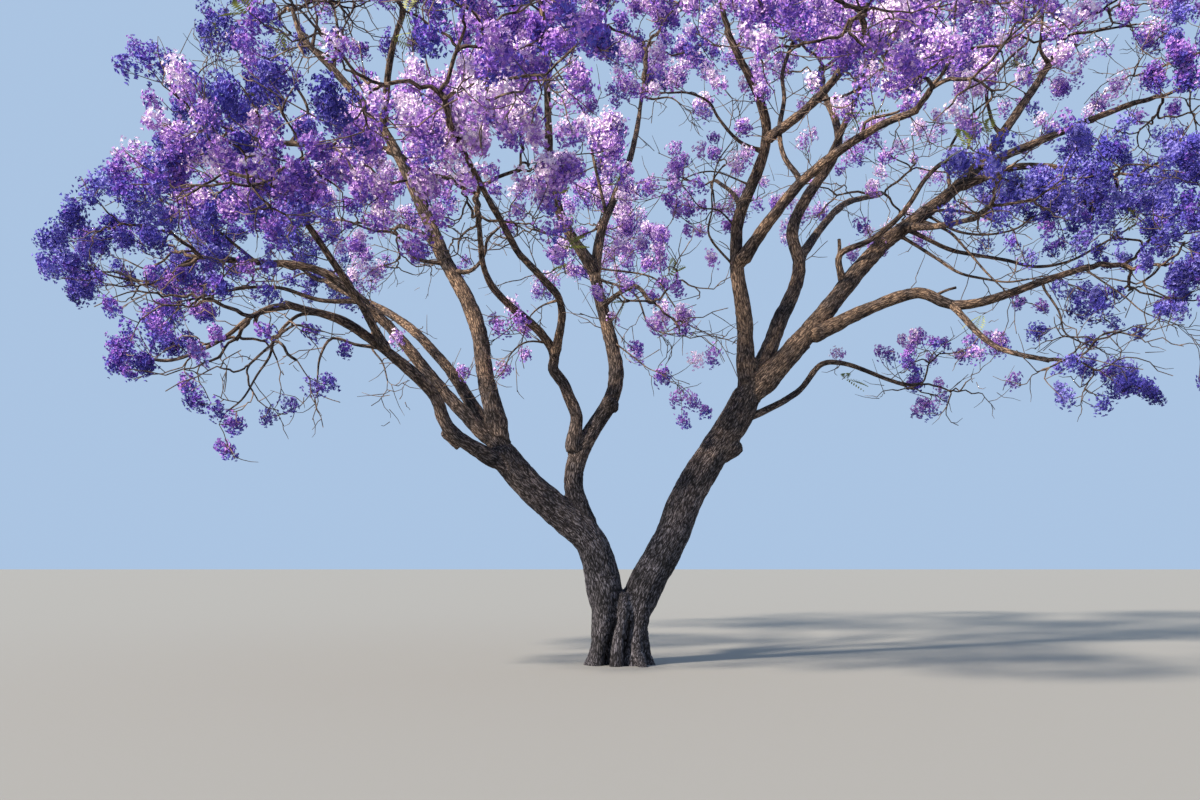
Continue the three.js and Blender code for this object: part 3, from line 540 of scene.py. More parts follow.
THICKNESS = [  # an ellipse, and how thick the blossom stands there against the rest
    (-4.8, 9.3, 2.3, 0.9, 0.45), (-5.0, 9.75, 2.3, 0.35, 0.6), (-6.9, 8.6, 0.7, 0.8, 0.6),
    (-1.8, 9.55, 0.8, 0.5, 1.4), (-2.0, 9.05, 0.5, 0.4, 1.6), (0.67, 9.2, 0.45, 0.8, 1.6),
    (-2.17, 8.06, 0.7, 0.4, 1.8), (-5.0, 7.4, 0.9, 0.45, 2.3), (-3.3, 7.8, 0.8, 0.8, 1.4),
    (-0.67, 7.3, 0.4, 0.4, 1.5), (0.03, 6.6, 0.35, 0.4, 1.4), (-1.8, 6.56, 0.85, 0.4, 0.25),
    (-4.8, 5.8, 3.2, 0.5, 0.6), (-4.7, 5.9, 0.35, 0.35, 1.8), (-3.7, 6.2, 1.2, 0.7, 0.6),
    (-7.4, 5.8, 0.5, 0.4, 0.4), (-2.8, 4.2, 1.5, 0.6, 0.2), (-6.0, 4.4, 0.5, 0.4, 0.5),
    (-4.2, 4.3, 0.9, 0.5, 0.45), (-4.9, 3.7, 0.7, 0.4, 0.4), (-5.9, 3.7, 0.5, 0.4, 2.5),
    (0.82, 4.5, 0.95, 0.6, 0.45), (0.7, 5.6, 0.9, 0.45, 0.55), (1.6, 5.2, 0.4, 0.5, 0.3),
    (2.4, 8.7, 1.2, 0.5, 0.5), (3.4, 7.7, 1.6, 0.8, 0.6), (3.8, 9.6, 0.4, 0.35, 2.7),
    (6.1, 7.5, 1.1, 0.7, 1.6), (6.7, 9.3, 1.6, 0.6, 0.65), (8.3, 8.75, 0.45, 0.4, 3.5),
    (8.3, 7.4, 0.4, 0.4, 1.4), (8.4, 5.9, 0.5, 0.4, 3.6), (8.0, 8.0, 0.8, 0.5, 0.75),
    (6.8, 6.0, 1.2, 0.6, 0.7), (6.4, 5.1, 0.8, 0.45, 0.65), (7.55, 4.3, 0.4, 0.4, 3.0),
    (3.9, 4.3, 0.7, 0.4, 0.4), (1.6, 7.5, 0.4, 0.4, 1.4), (0.8, 8.0, 0.5, 0.5, 0.5),
    (-3.66, 9.5, 0.4, 0.6, 0.65), (-2.54, 9.2, 0.6, 0.6, 1.5), (3.06, 8.8, 0.45, 0.45, 0.5),
    (4.86, 8.8, 0.7, 0.45, 3.2), (7.55, 8.8, 0.45, 0.6, 0.4), (-0.67, 8.06, 0.4, 0.4, 0.35),
    (1.94, 8.06, 0.75, 0.45, 0.6), (-2.17, 6.56, 0.4, 0.4, 0.5), (-7.0, 5.1, 0.75, 0.4, 0.32),
    (-5.9, 4.32, 0.4, 0.35, 0.4), (-7.0, 7.9, 0.5, 0.5, 0.7), (-2.2, 9.4, 1.1, 0.45, 1.5),
    (-1.42, 8.75, 0.4, 0.4, 1.9), (-3.66, 8.4, 0.45, 0.75, 1.5), (0.1, 9.1, 0.45, 0.7, 1.2),
    (-0.8, 7.7, 0.7, 0.6, 1.35), (0.1, 7.6, 0.4, 0.6, 2.0), (-3.2, 7.3, 0.75, 0.4, 1.45),
    (8.3, 7.0, 0.4, 0.8, 1.4), (-6.65, 8.05, 0.4, 0.4, 1.5), (-8.15, 5.8, 0.4, 0.4, 1.8),
    (-6.3, 5.06, 0.75, 0.35, 1.7), (-7.4, 4.3, 0.4, 0.4, 2.0), (4.56, 4.4, 0.45, 0.4, 1.7),
    (-4.2, 9.6, 0.6, 0.4, 0.8), (1.57, 9.6, 0.4, 0.35, 0.6), (7.2, 9.6, 1.3, 0.35, 0.38),
    (-6.3, 8.8, 0.8, 0.4, 0.4), (3.81, 8.8, 0.4, 0.4, 0.35), (-0.67, 8.8, 0.4, 0.4, 0.6),
    (6.05, 8.8, 0.4, 0.4, 0.3), (-7.4, 8.05, 0.4, 0.35, 0.2), (-5.16, 8.05, 0.4, 0.35, 0.6),
    (5.3, 8.05, 0.4, 0.4, 0.3), (-8.15, 7.3, 0.4, 0.35, 0.4), (2.32, 7.3, 0.4, 0.4, 0.2),
    (4.56, 7.1, 0.5, 0.75, 0.3), (6.8, 7.3, 0.4, 0.4, 0.28), (6.8, 8.06, 0.4, 0.4, 1.8),
    (6.0, 7.3, 0.4, 0.4, 2.2), (-5.2, 9.6, 0.4, 0.4, 1.5), (-0.1, 8.0, 0.35, 0.35, 3.0),
    (-4.4, 8.8, 0.4, 0.35, 1.2), (-3.66, 8.06, 0.4, 0.35, 2.0), (-6.65, 5.8, 0.4, 0.35, 1.6),
    (-2.17, 7.2, 0.4, 0.35, 0.65), (-1.8, 6.5, 0.8, 0.4, 0.4), (-2.92, 6.6, 0.4, 0.35, 2.0),
    (-4.41, 4.3, 0.4, 0.35, 1.6), (-0.67, 6.56, 0.4, 0.4, 0.35), (3.81, 6.56, 0.4, 0.4, 0.3),
    (6.05, 6.56, 0.8, 0.4, 0.6), (7.55, 6.56, 0.4, 0.4, 0.6), (-6.65, 6.56, 0.4, 0.4, 0.6),
    (-4.41, 6.56, 0.4, 0.4, 0.6), (-5.16, 5.5, 0.5, 0.8, 0.3), (-7.4, 5.5, 0.4, 0.7, 0.6),
    (0.4, 5.06, 0.6, 0.4, 0.5), (1.57, 4.7, 0.45, 0.8, 0.2), (0.07, 5.8, 0.4, 0.35, 0.7),
    (4.56, 5.06, 0.4, 0.35, 0.3), (-5.5, 4.3, 0.8, 0.35, 0.4), (6.9, 4.3, 0.6, 0.4, 0.4),
    (-1.42, 4.1, 0.45, 0.7, 0.7), (-2.92, 3.9, 0.5, 0.8, 0.2), (5.3, 4.0, 0.45, 0.8, 0.5),
]
LEFT_EDGE = [  # height, and the leftmost place of the blossom there
    (3.5, -6.2), (3.95, -6.6), (4.25, -7.55), (4.47, -7.74), (4.69, -7.62), (5.14, -7.53),
    (5.41, -8.19), (5.59, -8.64), (5.96, -8.76), (6.34, -8.64), (6.71, -8.52), (7.09, -8.35),
    (7.46, -7.95), (7.68, -7.8), (7.91, -7.59), (8.1, -7.0), (8.43, -7.06), (8.58, -7.5),
    (9.03, -7.65), (9.25, -7.59), (9.51, -6.88), (9.93, -6.5),
]
BARE_STRETCHES = [  # limb, and the shares between which nothing hangs in front of it
    ("left_low", 0, 0.9), ("left_outer", 0, 0.9), ("left_back", 0, 0.5), ("left_high", 0, 0.42),
    ("left_high", 0.62, 1), ("left_crown", 0, 1), ("left_upper", 0.6, 1), ("centre_left", 0, 0.5),
    ("centre_front", 0, 0.35), ("centre_up", 0, 0.3), ("centre_up", 0.55, 0.85),
    ("right_up", 0, 0.75), ("right_front", 0, 0.8), ("right_back", 0, 0.7), ("right_high", 0, 0.9),
    ("right_low", 0, 0.95), ("right_mid", 0, 0.8), ("right_outer", 0, 0.8), ("right_droop", 0, 0.8),
    ("right_under", 0, 0.9),
]
# Here too the deep and blue patches are partly painted shade and the bright ones partly painted sunlight.
PATCHES = [  # an ellipse and the cast of colour in it. The first that fits counts.
    (-6.45, 7.35, 0.62, 0.5, "bright"), (-5.3, 7.65, 0.75, 0.28, "bright"),
    (-4.0, 7.45, 0.65, 0.42, "bright"), (-3.75, 5.93, 0.5, 0.33, "bright"),
    (-2.3, 7.75, 1.35, 0.85, "bright"), (-3.1, 6.75, 1.1, 0.45, "lilac"),
    (-0.35, 6.7, 0.85, 0.75, "lilac"), (-1.2, 8.51, 0.9, 0.6, "violet"),
    (-4.34, 6.94, 0.9, 0.75, "violet"), (-3.6, 8.7, 0.9, 0.6, "violet"),
    (2.76, 9.03, 0.67, 0.48, "violet"), (3.44, 9.25, 2.24, 1.05, "lilac"),
    (4.9, 8.6, 0.8, 0.5, "bright"), (6.8, 8.88, 1.05, 1.12, "bright"),
    (8.35, 8.6, 0.55, 0.8, "purple"), (7.62, 6.56, 1.42, 1.42, "blue"),
    (5.75, 7.16, 0.75, 0.63, "blue"), (-5.83, 4.47, 1.94, 1.05, "purple"),
    (0.52, 5.07, 1.12, 0.9, "rose"), (4.41, 4.4, 1.05, 0.67, "violet"),
    (-6.9, 8.85, 1.15, 0.75, "deep"), (-7.92, 6.49, 1.05, 1.12, "deep"),
    (-5.2, 7.1, 1.6, 0.4, "violet"), (-5.68, 6.19, 1.2, 0.6, "deep"),
    (-5.4, 8.4, 1.3, 0.65, "deep"), (0, 9.63, 0.9, 0.3, "violet"),
]
ROOM = ((-8.45, -7.65, 0), (9.7, 7.8, 12.4))  # the box that panicles keep within
PANICLE_ROOM = 0.08  # how much wider a clearing is for them, in metres
EDGE_FRINGE = (0.1, 0.08)  # how far inside the outline they end, and the spread of that
WINDOW_STEP = 0.1
LIMB_CLEARANCE = 0.15  # beyond the limb's own radius
BOUGH_CLEARANCE = 0.11
BOUGH_WINDOW = 0.8  # the share of a side bough that stays bare
STRAYS = 0.1  # the share of panicles that hang in front of bare wood all the same
edge_heights, edge_places = np.array(LEFT_EDGE).T
rng = np.random.default_rng(58)


def seen_from_front(place):
    """Where a place falls in the picture plane, and how much smaller it looks there."""
    away = (place[1] - EYE[1]) / -EYE[1]
    return EYE[0] + (place[0] - EYE[0]) / away, EYE[2] + (place[2] - EYE[2]) / away, 1 / away


def beyond_edge(place, margin=0.0):
    """Whether a place lies outside the left outline of the crown."""
    x, z, _ = seen_from_front(place)
    return x < np.interp(z, edge_heights, edge_places) + margin


def within(row, x, z, margin=0.0):
    middle_x, middle_z, half_x, half_z = row[:4]
    return ((x - middle_x) / (half_x + margin)) ** 2 + ((z - middle_z) / (half_z + margin)) ** 2 < 1


windows = []
bare_wood = [(limbs[name], low, high) for name, low, high in BARE_STRETCHES]
bare_wood += [(bough, 0, BOUGH_WINDOW) for bough in side_boughs if bough.name.startswith("right")]
for wood, low, high in bare_wood:
    for share in np.arange(low, high, WINDOW_STEP / wood.length):
        place = wood.at(share)
        x, z, scale = seen_from_front(place)
        clearance = BOUGH_CLEARANCE if wood in side_boughs else LIMB_CLEARANCE + wood.radius(share)
        windows.append((x, z, clearance * scale, place[1]))
windows = np.array(windows)
print("windows on bare stretches:", len(windows))


def may_flower(place):
    """Whether a panicle can sit here, by the picture from the front and the room in the box."""
    x, z, _ = seen_from_front(place)
    if not all(low < p < high for low, p, high in zip(ROOM[0], place, ROOM[1])):
        return False
    if beyond_edge(place, rng.normal(*EDGE_FRINGE)):
        return False
    if any(within(hole, x, z, PANICLE_ROOM) and rng.random() > hole[4] for hole in CLEARINGS):
        return False
    near = np.hypot(windows[:, 0] - x, windows[:, 1] - z) < windows[:, 2]
    hides = (near & (place[1] < windows[:, 3])).any()
    return not hides or rng.random() < STRAYS


def thickness_at(place):
    x, z, _ = seen_from_front(place)
    return math.prod(row[4] for row in THICKNESS if within(row, x, z))


def cast_at(place, own):
    x, z, _ = seen_from_front(place)
    return next((row[4] for row in PATCHES if within(row, x, z)), own)


# %% [markdown]
# ## Growing the boughs into the masses
#
# From its limb's tip a bough runs on into the mass and parts in three, each part heading for its
# own third of the spots, and those part again until each has one spot left, which gets a spray.
# That is the rule that the solids follow. Each stretch is kept as a line of a few points with a
# thickness at each, bent and kinked a little, because a jacaranda's boughs never run straight.

# %% Splitting the spots and growing the lines
TWIG_THINNING = 0.7  # from a stretch to the next
TAPER = 0.86  # within a stretch
SPRAY_LENGTH = 0.82
THINNEST_TWIG = 0.013
LINE_POINTS = 6
BEND = 0.4  # how far a line runs on before it bends over, as a share of its length
KINK = 0.045  # also a share of its length
STEM_KINK = 0.02
STEM_SHARE = 0.3  # how far the first stretch goes of the way to the mass's middle
STEM_TIP = 0.12  # how far it goes straight on from the limb
STEM_ROOT = 0.15  # and how far back inside it it starts
STEM_THICKNESS = (1.02, 0.85)  # against the limb's tip
FIRST_PARTS = 0.62
bough_lines = []
sprays = []


def any_way():
    return unit(rng.normal(size=3))


def angles_round(axis):
    side = np.cross((0, 0, 1), axis)
    if np.linalg.norm(side) < 0.1:
        side = np.array([1.0, 0, 0]) - axis * axis[0]
    first = unit(side)
    return first, np.cross(axis, first)


def parted(spots, start, axis):
    """The spots in three parts round an axis, cut where the parts keep closest together."""
    first, second = angles_round(axis)
    way = spots - start
    turned = spots[np.argsort(np.arctan2(way @ second, way @ first), kind="stable")]
    size = math.ceil(len(spots) / 3)
    best = None
    for shift in range(len(spots)):
        ring = np.roll(turned, -shift, axis=0)
        parts = [p for p in (ring[:size], ring[size : 2 * size], ring[2 * size :]) if len(p)]
        spread = sum(np.linalg.norm(p - p.mean(0), axis=1).sum() for p in parts)
        if best is None or spread < best[0]:
            best = (spread, parts)
    return best[1]


def crooked_line(start, lead, end, kink):
    """A line that sets off along lead, bends over to its end and is kinked on the way."""
    s = np.linspace(0, 1, LINE_POINTS)[:, None]
    reach = np.linalg.norm(end - start)
    hold = start + unit(lead) * reach * BEND
    line = (1 - s) ** 2 * start + 2 * s * (1 - s) * hold + s**2 * end
    line += rng.normal(0, kink * reach, line.shape) * np.sin(np.pi * s)
    return line


def add_spray(mass, start, lead, spot, radius):
    """A spray to the spot, shorter if its tip would leave the mass's space."""
    way, distance = unit(spot - start), np.linalg.norm(spot - start)
    length = np.clip(distance, 0.6 * SPRAY_LENGTH, 1.4 * SPRAY_LENGTH)
    for reach in (1.0, 0.8, 0.62):
        point = start + way * length * reach
        if keeps_to_its_space(mass, point):
            sprays.append((mass, start, lead, point, radius, mass.fullness, mass.cast))
            return


def grow(mass, start, lead, spots, radius):
    target = spots.mean(0)
    distance = np.linalg.norm(target - start)
    if len(spots) == 1 and distance < 1.5 * SPRAY_LENGTH:
        add_spray(mass, start, lead, spots[0], radius)
        return
    if len(spots) == 1:
        share = 1 - SPRAY_LENGTH / distance
    else:
        share = 0.55 if len(spots) <= 3 else 0.5
    end = start + (target - start) * share
    line = crooked_line(start, lead, end, KINK)
    bough_lines.append((line, np.linspace(radius, radius * TAPER, LINE_POINTS)))
    parts = [spots] if len(spots) == 1 else parted(spots, end, unit(target - start))
    for part in parts:
        grow(mass, end, end - line[-3], part, max(radius * TWIG_THINNING, THINNEST_TWIG))


for mass in masses:
    limb = mass.limb
    way = unit(limb.at(1.0) - limb.at(0.97))
    end = mass.tip + way * STEM_TIP
    end = end + (mass.middle - end) * STEM_SHARE
    line = crooked_line(mass.tip - way * STEM_ROOT, way, end, STEM_KINK)
    first, last = STEM_THICKNESS
    bough_lines.append((line, np.linspace(limb.end * first, limb.end * last, LINE_POINTS)))
    for part in parted(spots_in(mass), end, unit(end - mass.tip)):
        grow(mass, end, end - line[-3], part, limb.end * FIRST_PARTS)
print("bough stretches:", len(bough_lines), "sprays:", len(sprays))

# %% Sprays on the side boughs and twigs on the limbs
FULL_TURN = 6.28
TIP_SPRAYS = 4
SPRAY_REACH = 0.5
BOUGH_SPRAYS = (0.35, 0.36)  # the share of the length from which they grow, and metres apart
LIMB_SPRAYS = (0.4, 0.75)
BOUGH_SPRAY_RADIUS = 0.011
LIMB_SPRAY_RADIUS = 0.012
LIMB_FULLNESS = 0.25


def sprays_along(line_of, first, spacing, radius, fullness, cast):
    """Sprays that leave a limb on all sides, a spacing apart, from a share of its length on."""
    share = first
    turn = rng.random() * FULL_TURN
    while share < 0.98:
        place, before = line_of.at(share), line_of.at(max(share - 0.02, 0))
        way = unit(place - before)
        one, other = angles_round(way)
        turn += GOLDEN_ANGLE
        out = one * math.cos(turn) + other * math.sin(turn)
        heading = unit(way * 0.55 + out + any_way() * 0.25 + (0, 0, 0.1))
        point = place + heading * SPRAY_REACH * (0.6 + 0.8 * rng.random())
        sprays.append((None, place, out + way * 0.5, point, radius, fullness * (0.4 + 0.6 * share), cast))
        share += spacing * (0.7 + 0.6 * rng.random()) / line_of.length


for bough in side_boughs:
    tip, way = bough.at(1.0), unit(bough.at(1.0) - bough.at(0.95))
    for _ in range(TIP_SPRAYS):
        point = tip + unit(way * 0.9 + any_way() * 0.8) * (0.45 + 0.4 * rng.random())
        sprays.append((None, tip, way, point, bough.end * 0.8, bough.fullness, bough.cast))
    sprays_along(bough, *BOUGH_SPRAYS, min(BOUGH_SPRAY_RADIUS, bough.end), bough.fullness, bough.cast)
for mass in masses:
    sprays_along(mass.limb, *LIMB_SPRAYS, LIMB_SPRAY_RADIUS, LIMB_FULLNESS, mass.cast)
print("sprays with those of the side boughs and limbs:", len(sprays))

# %% [markdown]
# ## Round wood from a line
#
# Wood is a tube round its line. A ring of corners is set at each point, square to the line, and
# the frame is carried along from ring to ring without a twist. Each corner also stores a place in
# the limb's own measure: across it in two directions and along it. Bark runs lengthwise on every
# limb, whichever way the limb leans, so its pattern is drawn in that measure.

# %% Tubes
def frames_along(line):
    ways = unit(np.gradient(line, axis=0))
    sides = np.zeros_like(ways)
    side = np.array([0.0, 1.0, 0.0])
    for i, way in enumerate(ways):
        side = unit(side - way * (side @ way))
        sides[i] = side
    return ways, sides, np.cross(ways, sides)


def store(mesh, name, values, kind="FLOAT_VECTOR"):
    """Stores a value for each corner of a mesh."""
    stored = mesh.attributes.new(name, kind, "POINT")
    key = "vector" if kind == "FLOAT_VECTOR" else "value"
    stored.data.foreach_set(key, np.ravel(values).astype(np.float32))


def plain_mesh(name, corners, edges, faces):
    made = bpy.data.meshes.new(name)
    made.from_pydata([tuple(corner) for corner in corners], edges, faces)
    return made


class Wood:
    """Tubes gathered for one mesh."""

    def __init__(self):
        self.places, self.faces, self.grain, self.count = [], [], [], 0

    def add(self, line, radii, sides, offset=0.0, shape=None):
        """A closed tube round a line, with its bark measured from the offset on."""
        _, first, second = frames_along(line)
        along = np.concatenate([[0], np.cumsum(np.linalg.norm(np.diff(line, axis=0), axis=1))])
        turn = np.arange(sides) * 2 * np.pi / sides
        flat = np.stack([np.cos(turn), np.sin(turn)], -1)
        across = flat[None] * np.asarray(radii)[:, None, None]
        lengthwise = np.broadcast_to(along[:, None, None], (*across.shape[:2], 1))
        grain = np.concatenate([across, lengthwise], -1) + [0, 0, offset]
        if shape is not None:
            across = across * shape(grain, np.asarray(radii))[..., None]
        places = line[:, None] + across[..., :1] * first[:, None] + across[..., 1:] * second[:, None]
        corner = np.arange(len(line) * sides).reshape(len(line), sides) + self.count
        following = np.roll(corner, -1, axis=1)
        faces = np.stack([corner[:-1], following[:-1], following[1:], corner[1:]], -1).reshape(-1, 4)
        self.places.append(places.reshape(-1, 3))
        self.grain.append(grain.reshape(-1, 3))
        self.faces.extend(map(tuple, faces.tolist()))
        self.faces.extend([tuple(corner[0][::-1]), tuple(corner[-1])])
        self.count += corner.size

    def mesh(self, name):
        made = plain_mesh(name, np.vstack(self.places), [], self.faces)
        store(made, "grain", np.vstack(self.grain))
        made.update()
        return made


# %% [markdown]
# ## Relief of the bark
#
# An old jacaranda's bark is thin and finely furrowed, over wood that swells and sinks with its
# age. The relief here is smooth noise, summed from a few sizes: swellings as long as a forearm,
# and furrows a few centimetres apart that run lengthwise. It is worked out in the limb's measure.

# %% Noise and relief
NOISES = [  # size across and along the limb in metres, and where in the noise it is read
    ((0.32, 0.32, 0.55), (0, 0, 0)),  # swellings
    ((0.11, 0.11, 0.16), (9, 0, 0)),  # knots
    ((0.045, 0.045, 0.13), (0, 5, 0)),  # furrows
]
SWELLING = 0.22  # as a share of the radius
SWELLING_RADIUS = 0.16  # metres, from where on swellings grow no further
KNOT = 0.15
KNOT_RADIUS = 0.09
FURROW_WIDTH = 0.18  # in the noise's own measure
FURROW_DEPTH = 0.008
FURROW_RADIUS = 0.12
permutation = np.random.default_rng(7).permutation(256)
permutation = np.concatenate([permutation, permutation])
gradients = unit(np.random.default_rng(8).normal(size=(256, 3)))


def noise_at(places):
    """Smooth noise from about -0.6 to 0.6, with swellings one unit apart."""
    places = np.asarray(places, float)
    cell = np.floor(places).astype(int)
    part = places - cell
    ease = part**3 * (part * (part * 6 - 15) + 10)
    total = 0
    for corner in np.ndindex(2, 2, 2):
        c = (cell + corner) & 255
        index = permutation[permutation[permutation[c[..., 0]] + c[..., 1]] + c[..., 2]]
        share = np.prod(np.where(np.array(corner) == 1, ease, 1 - ease), axis=-1)
        total = total + share * np.sum(gradients[index] * (part - corner), axis=-1)
    return total


def relief(grain, radius):
    """How far the bark stands out, in metres."""
    swelling, knots, furrow = (noise_at(grain / np.array(size) + start) for size, start in NOISES)
    swelling = swelling * SWELLING * np.minimum(radius, SWELLING_RADIUS)
    knots = knots * KNOT * np.minimum(radius, KNOT_RADIUS)
    furrow = np.clip(FURROW_WIDTH - np.abs(furrow), 0, 1) / FURROW_WIDTH
    return swelling + knots - FURROW_DEPTH * (furrow * np.minimum(radius / FURROW_RADIUS, 1))


def limb_shape(grain, radii):
    return 1 + relief(grain, radii[:, None]) / np.maximum(radii[:, None], 0.01)


# %% [markdown]
# ## Trunk and forks
#
# The trunk is two stems grown together. Below the fork it is a bundle of columns with deep folds
# between them, a slender one in front, and each runs out into a root. Every column is a tube with
# its own points and thicknesses. Tubes that merely cross would meet in hard creases, so they are
# joined with the lowest limbs by a voxel remesh, as if all were dipped in clay: the forks get
# webs, the folds get rounded lips, and the trunk gets one skin.

# %% Trunk and forks as one skin
COLUMNS = [  # x, y, z and radius in mm, from the top down
    [(-215, -110, 1300, 185), (-232, -125, 900, 178), (-264, -140, 560, 136), (-300, -155, 350, 112),
     (-342, -175, 120, 112), (-372, -205, -100, 130)],
    [(-330, -10, 1000, 110), (-345, -20, 560, 85), (-350, -20, 300, 90), (-385, -30, -100, 120)],
    [(-195, 110, 1250, 195), (-205, 120, 600, 198), (-235, 130, 250, 198), (-300, 150, -100, 225)],
    [(85, -180, 1080, 70), (75, -205, 980, 80), (50, -265, 810, 86), (14, -290, 610, 88),
     (-30, -302, 380, 88), (-56, -318, 120, 96), (-72, -335, -100, 112)],
    [(345, -80, 1250, 185), (300, -120, 850, 168), (262, -140, 540, 145), (222, -150, 300, 134),
     (180, -165, 120, 140), (165, -185, -100, 158)],
    [(320, 110, 1250, 180), (235, 120, 700, 190), (210, 130, 300, 200), (240, 160, -100, 235)],
    [(30, 30, 1100, 165), (0, 60, 600, 215), (0, 80, -100, 280)],
    [(215, -205, 360, 88), (290, -330, 110, 86), (350, -440, -60, 74)],
    [(295, -35, 500, 120), (370, -55, 170, 100), (460, -75, -100, 100)],
    [(-300, -70, 430, 115), (-385, -100, 150, 100), (-480, -130, -100, 100)],
    [(60, 240, 500, 130), (120, 350, 160, 110), (180, 440, -100, 100)],
    [(-140, 230, 450, 120), (-230, 330, 140, 100), (-300, 420, -100, 95)],
]
KNOBS = [  # x, y, z and radius in mm, inner end and outer end
    [(-2330, -330, 3260, 120), (-2520, -450, 3400, 98), (-2580, -480, 3430, 70)],
    [(1560, 150, 3180, 170), (1760, 100, 3230, 125), (1850, 80, 3250, 60)],
    [(-150, 60, 3860, 150), (-130, -70, 3920, 95), (-120, -110, 3940, 50)],
]
JOINED = {  # how far along each limb the skin of the forks reaches, in metres
    "stem_left": 9, "stem_right": 9, "centre_up": 2.2, "left_low": 0.9, "left_outer": 1.0,
    "left_back": 0.9, "left_high": 1.2, "right_up": 1.3, "right_high": 1.7, "right_back": 1.0,
    "right_under": 0.35, "centre_left": 0.5, "right_low": 0.5,
}
BENDS = {  # share of the limb, how far it bends sideways there in metres, and over what share
    "centre_left": [(0.15, 0.13, 0.07), (0.31, -0.1, 0.035)],
}
STOUTER = {  # factors at foot and tip
    "right_back": (1.16, 1.16), "right_high": (1.06, 1.06), "centre_up": (1.0, 0.6),
    "centre_left": (0.95, 0.7), "centre_front": (0.75, 0.75),
}
VOXEL = 0.022
BARK_STEP = 3.7  # from a limb's bark to the next one's, in metres
COLLAR = 0.35  # how much a limb swells at its foot
COLLAR_REACH = 1.3  # as a share of its radius there
UNDER_PARENT = 0.86  # how thick a foot may be against its parent
FREE_AFTER = 0.7  # how far out it gets as thick again as its parent, against the parent's radius
SWAY_LENGTH = 0.8
SWAY_FADE = 0.5
SWAY = 0.45  # as a share of the radius
STEM_SWAY = 0.1
BARK_SHIFT = {name: i * BARK_STEP for i, name in enumerate([*grown, *(stub.name for stub in stubs)])}


def thickness_of(limb, share):
    """A limb's radius, held under its parent's where it leaves it."""
    out = np.asarray(share) * limb.length - limb.buried
    foot, tip = STOUTER.get(limb.name, (1, 1))
    radii = limb.radius(share) * (foot + (tip - foot) * share)
    radii = radii * (1 + COLLAR * np.exp(-np.maximum(out, 0) / (COLLAR_REACH * limb.start)))
    if limb.parent:
        room = UNDER_PARENT + np.maximum(out, 0) / (FREE_AFTER * limb.buried)
        radii = np.minimum(radii, limb.buried * room)
    return radii


def wandering(limb, share):
    """A limb's line with small bends of its own, none at its two ends."""
    line = limb.at(share)
    along = share * limb.length + BARK_SHIFT[limb.name]
    still = along * 0
    sway = [noise_at(np.stack([along / SWAY_LENGTH, still + k * 7.3, still], -1)) for k in range(3)]
    fade = np.clip(np.minimum(share, 1 - share) * limb.length / SWAY_FADE, 0, 1)
    radii = limb.radius(share)
    amount = SWAY * np.clip(radii, 0.03, 0.12) if limb.parent else STEM_SWAY * radii
    line = line + np.stack(sway, -1) * (amount * fade)[:, None]
    for middle, sideways, width in BENDS.get(limb.name, []):
        line[:, 0] += sideways * np.exp(-(((share - middle) / width) ** 2))
    return line


clay = Wood()
for name, reach in JOINED.items():
    limb = limbs[name]
    if limb.parent:
        share = np.linspace(0, min(1.0, reach / limb.length), max(8, int(reach / 0.06)))
        out = share * limb.length - limb.buried
        radii = thickness_of(limb, share) * np.clip(0.55 + out / 0.5, 0.72, 1)
        radii[-3:] *= (0.97, 0.9, 0.6)
    else:
        share = np.linspace(0.8 / limb.length, 1, 60)
        radii = limb.radius(share) * np.clip(0.75 + (share - share[0]) * limb.length / 1.2, 0.75, 1)
        radii[-4:] *= (0.99, 0.95, 0.85, 0.6)
    clay.add(wandering(limb, share), radii, 24)
for rows in [*COLUMNS, *KNOBS]:
    rows = np.array(rows, float) / 1000
    line = smooth_path(rows[:, :3], 6)
    known = np.linspace(0, 1, len(rows))
    clay.add(line, np.interp(np.linspace(0, 1, len(line)), known, rows[:, 3]), 20)
clay_object = new_object("clay", clay.mesh("clay"))
remesh = clay_object.modifiers.new("one_skin", "REMESH")
remesh.mode = "VOXEL"
remesh.voxel_size = VOXEL
smooth = clay_object.modifiers.new("soften", "SMOOTH")
smooth.factor = 0.5
smooth.iterations = 4


def finished_mesh(made):
    """The mesh that an object's modifiers make. The object goes."""
    depsgraph = bpy.context.evaluated_depsgraph_get()
    mesh = bpy.data.meshes.new_from_object(made.evaluated_get(depsgraph))
    bpy.data.objects.remove(made)
    return mesh


trunk_mesh = finished_mesh(clay_object)
print("skin of the trunk and forks:", len(trunk_mesh.polygons), "faces")

# %% Flat cut and bark relief on the trunk
STEP_ALONG = 0.05  # between the places on the limbs that the skin is measured from
BATCH = 4000  # corners measured at a time
NEARNESS = 0.7  # a thick limb reaches out further than a thin one, by this power of its radius
TRUNK_RELIEF = 1.1
SMOOTH_FOOT = 0.02  # the height over which the relief begins

cut = bmesh.new()
cut.from_mesh(trunk_mesh)
everything = cut.verts[:] + cut.edges[:] + cut.faces[:]
sliced = bmesh.ops.bisect_plane(
    cut, geom=everything, plane_co=(0, 0, 0), plane_no=(0, 0, -1), clear_outer=True
)
rim = [e for e in sliced["geom_cut"] if isinstance(e, bmesh.types.BMEdge)]
bmesh.ops.holes_fill(cut, edges=rim, sides=0)
cut.to_mesh(trunk_mesh)
cut.free()
trunk_mesh.update()


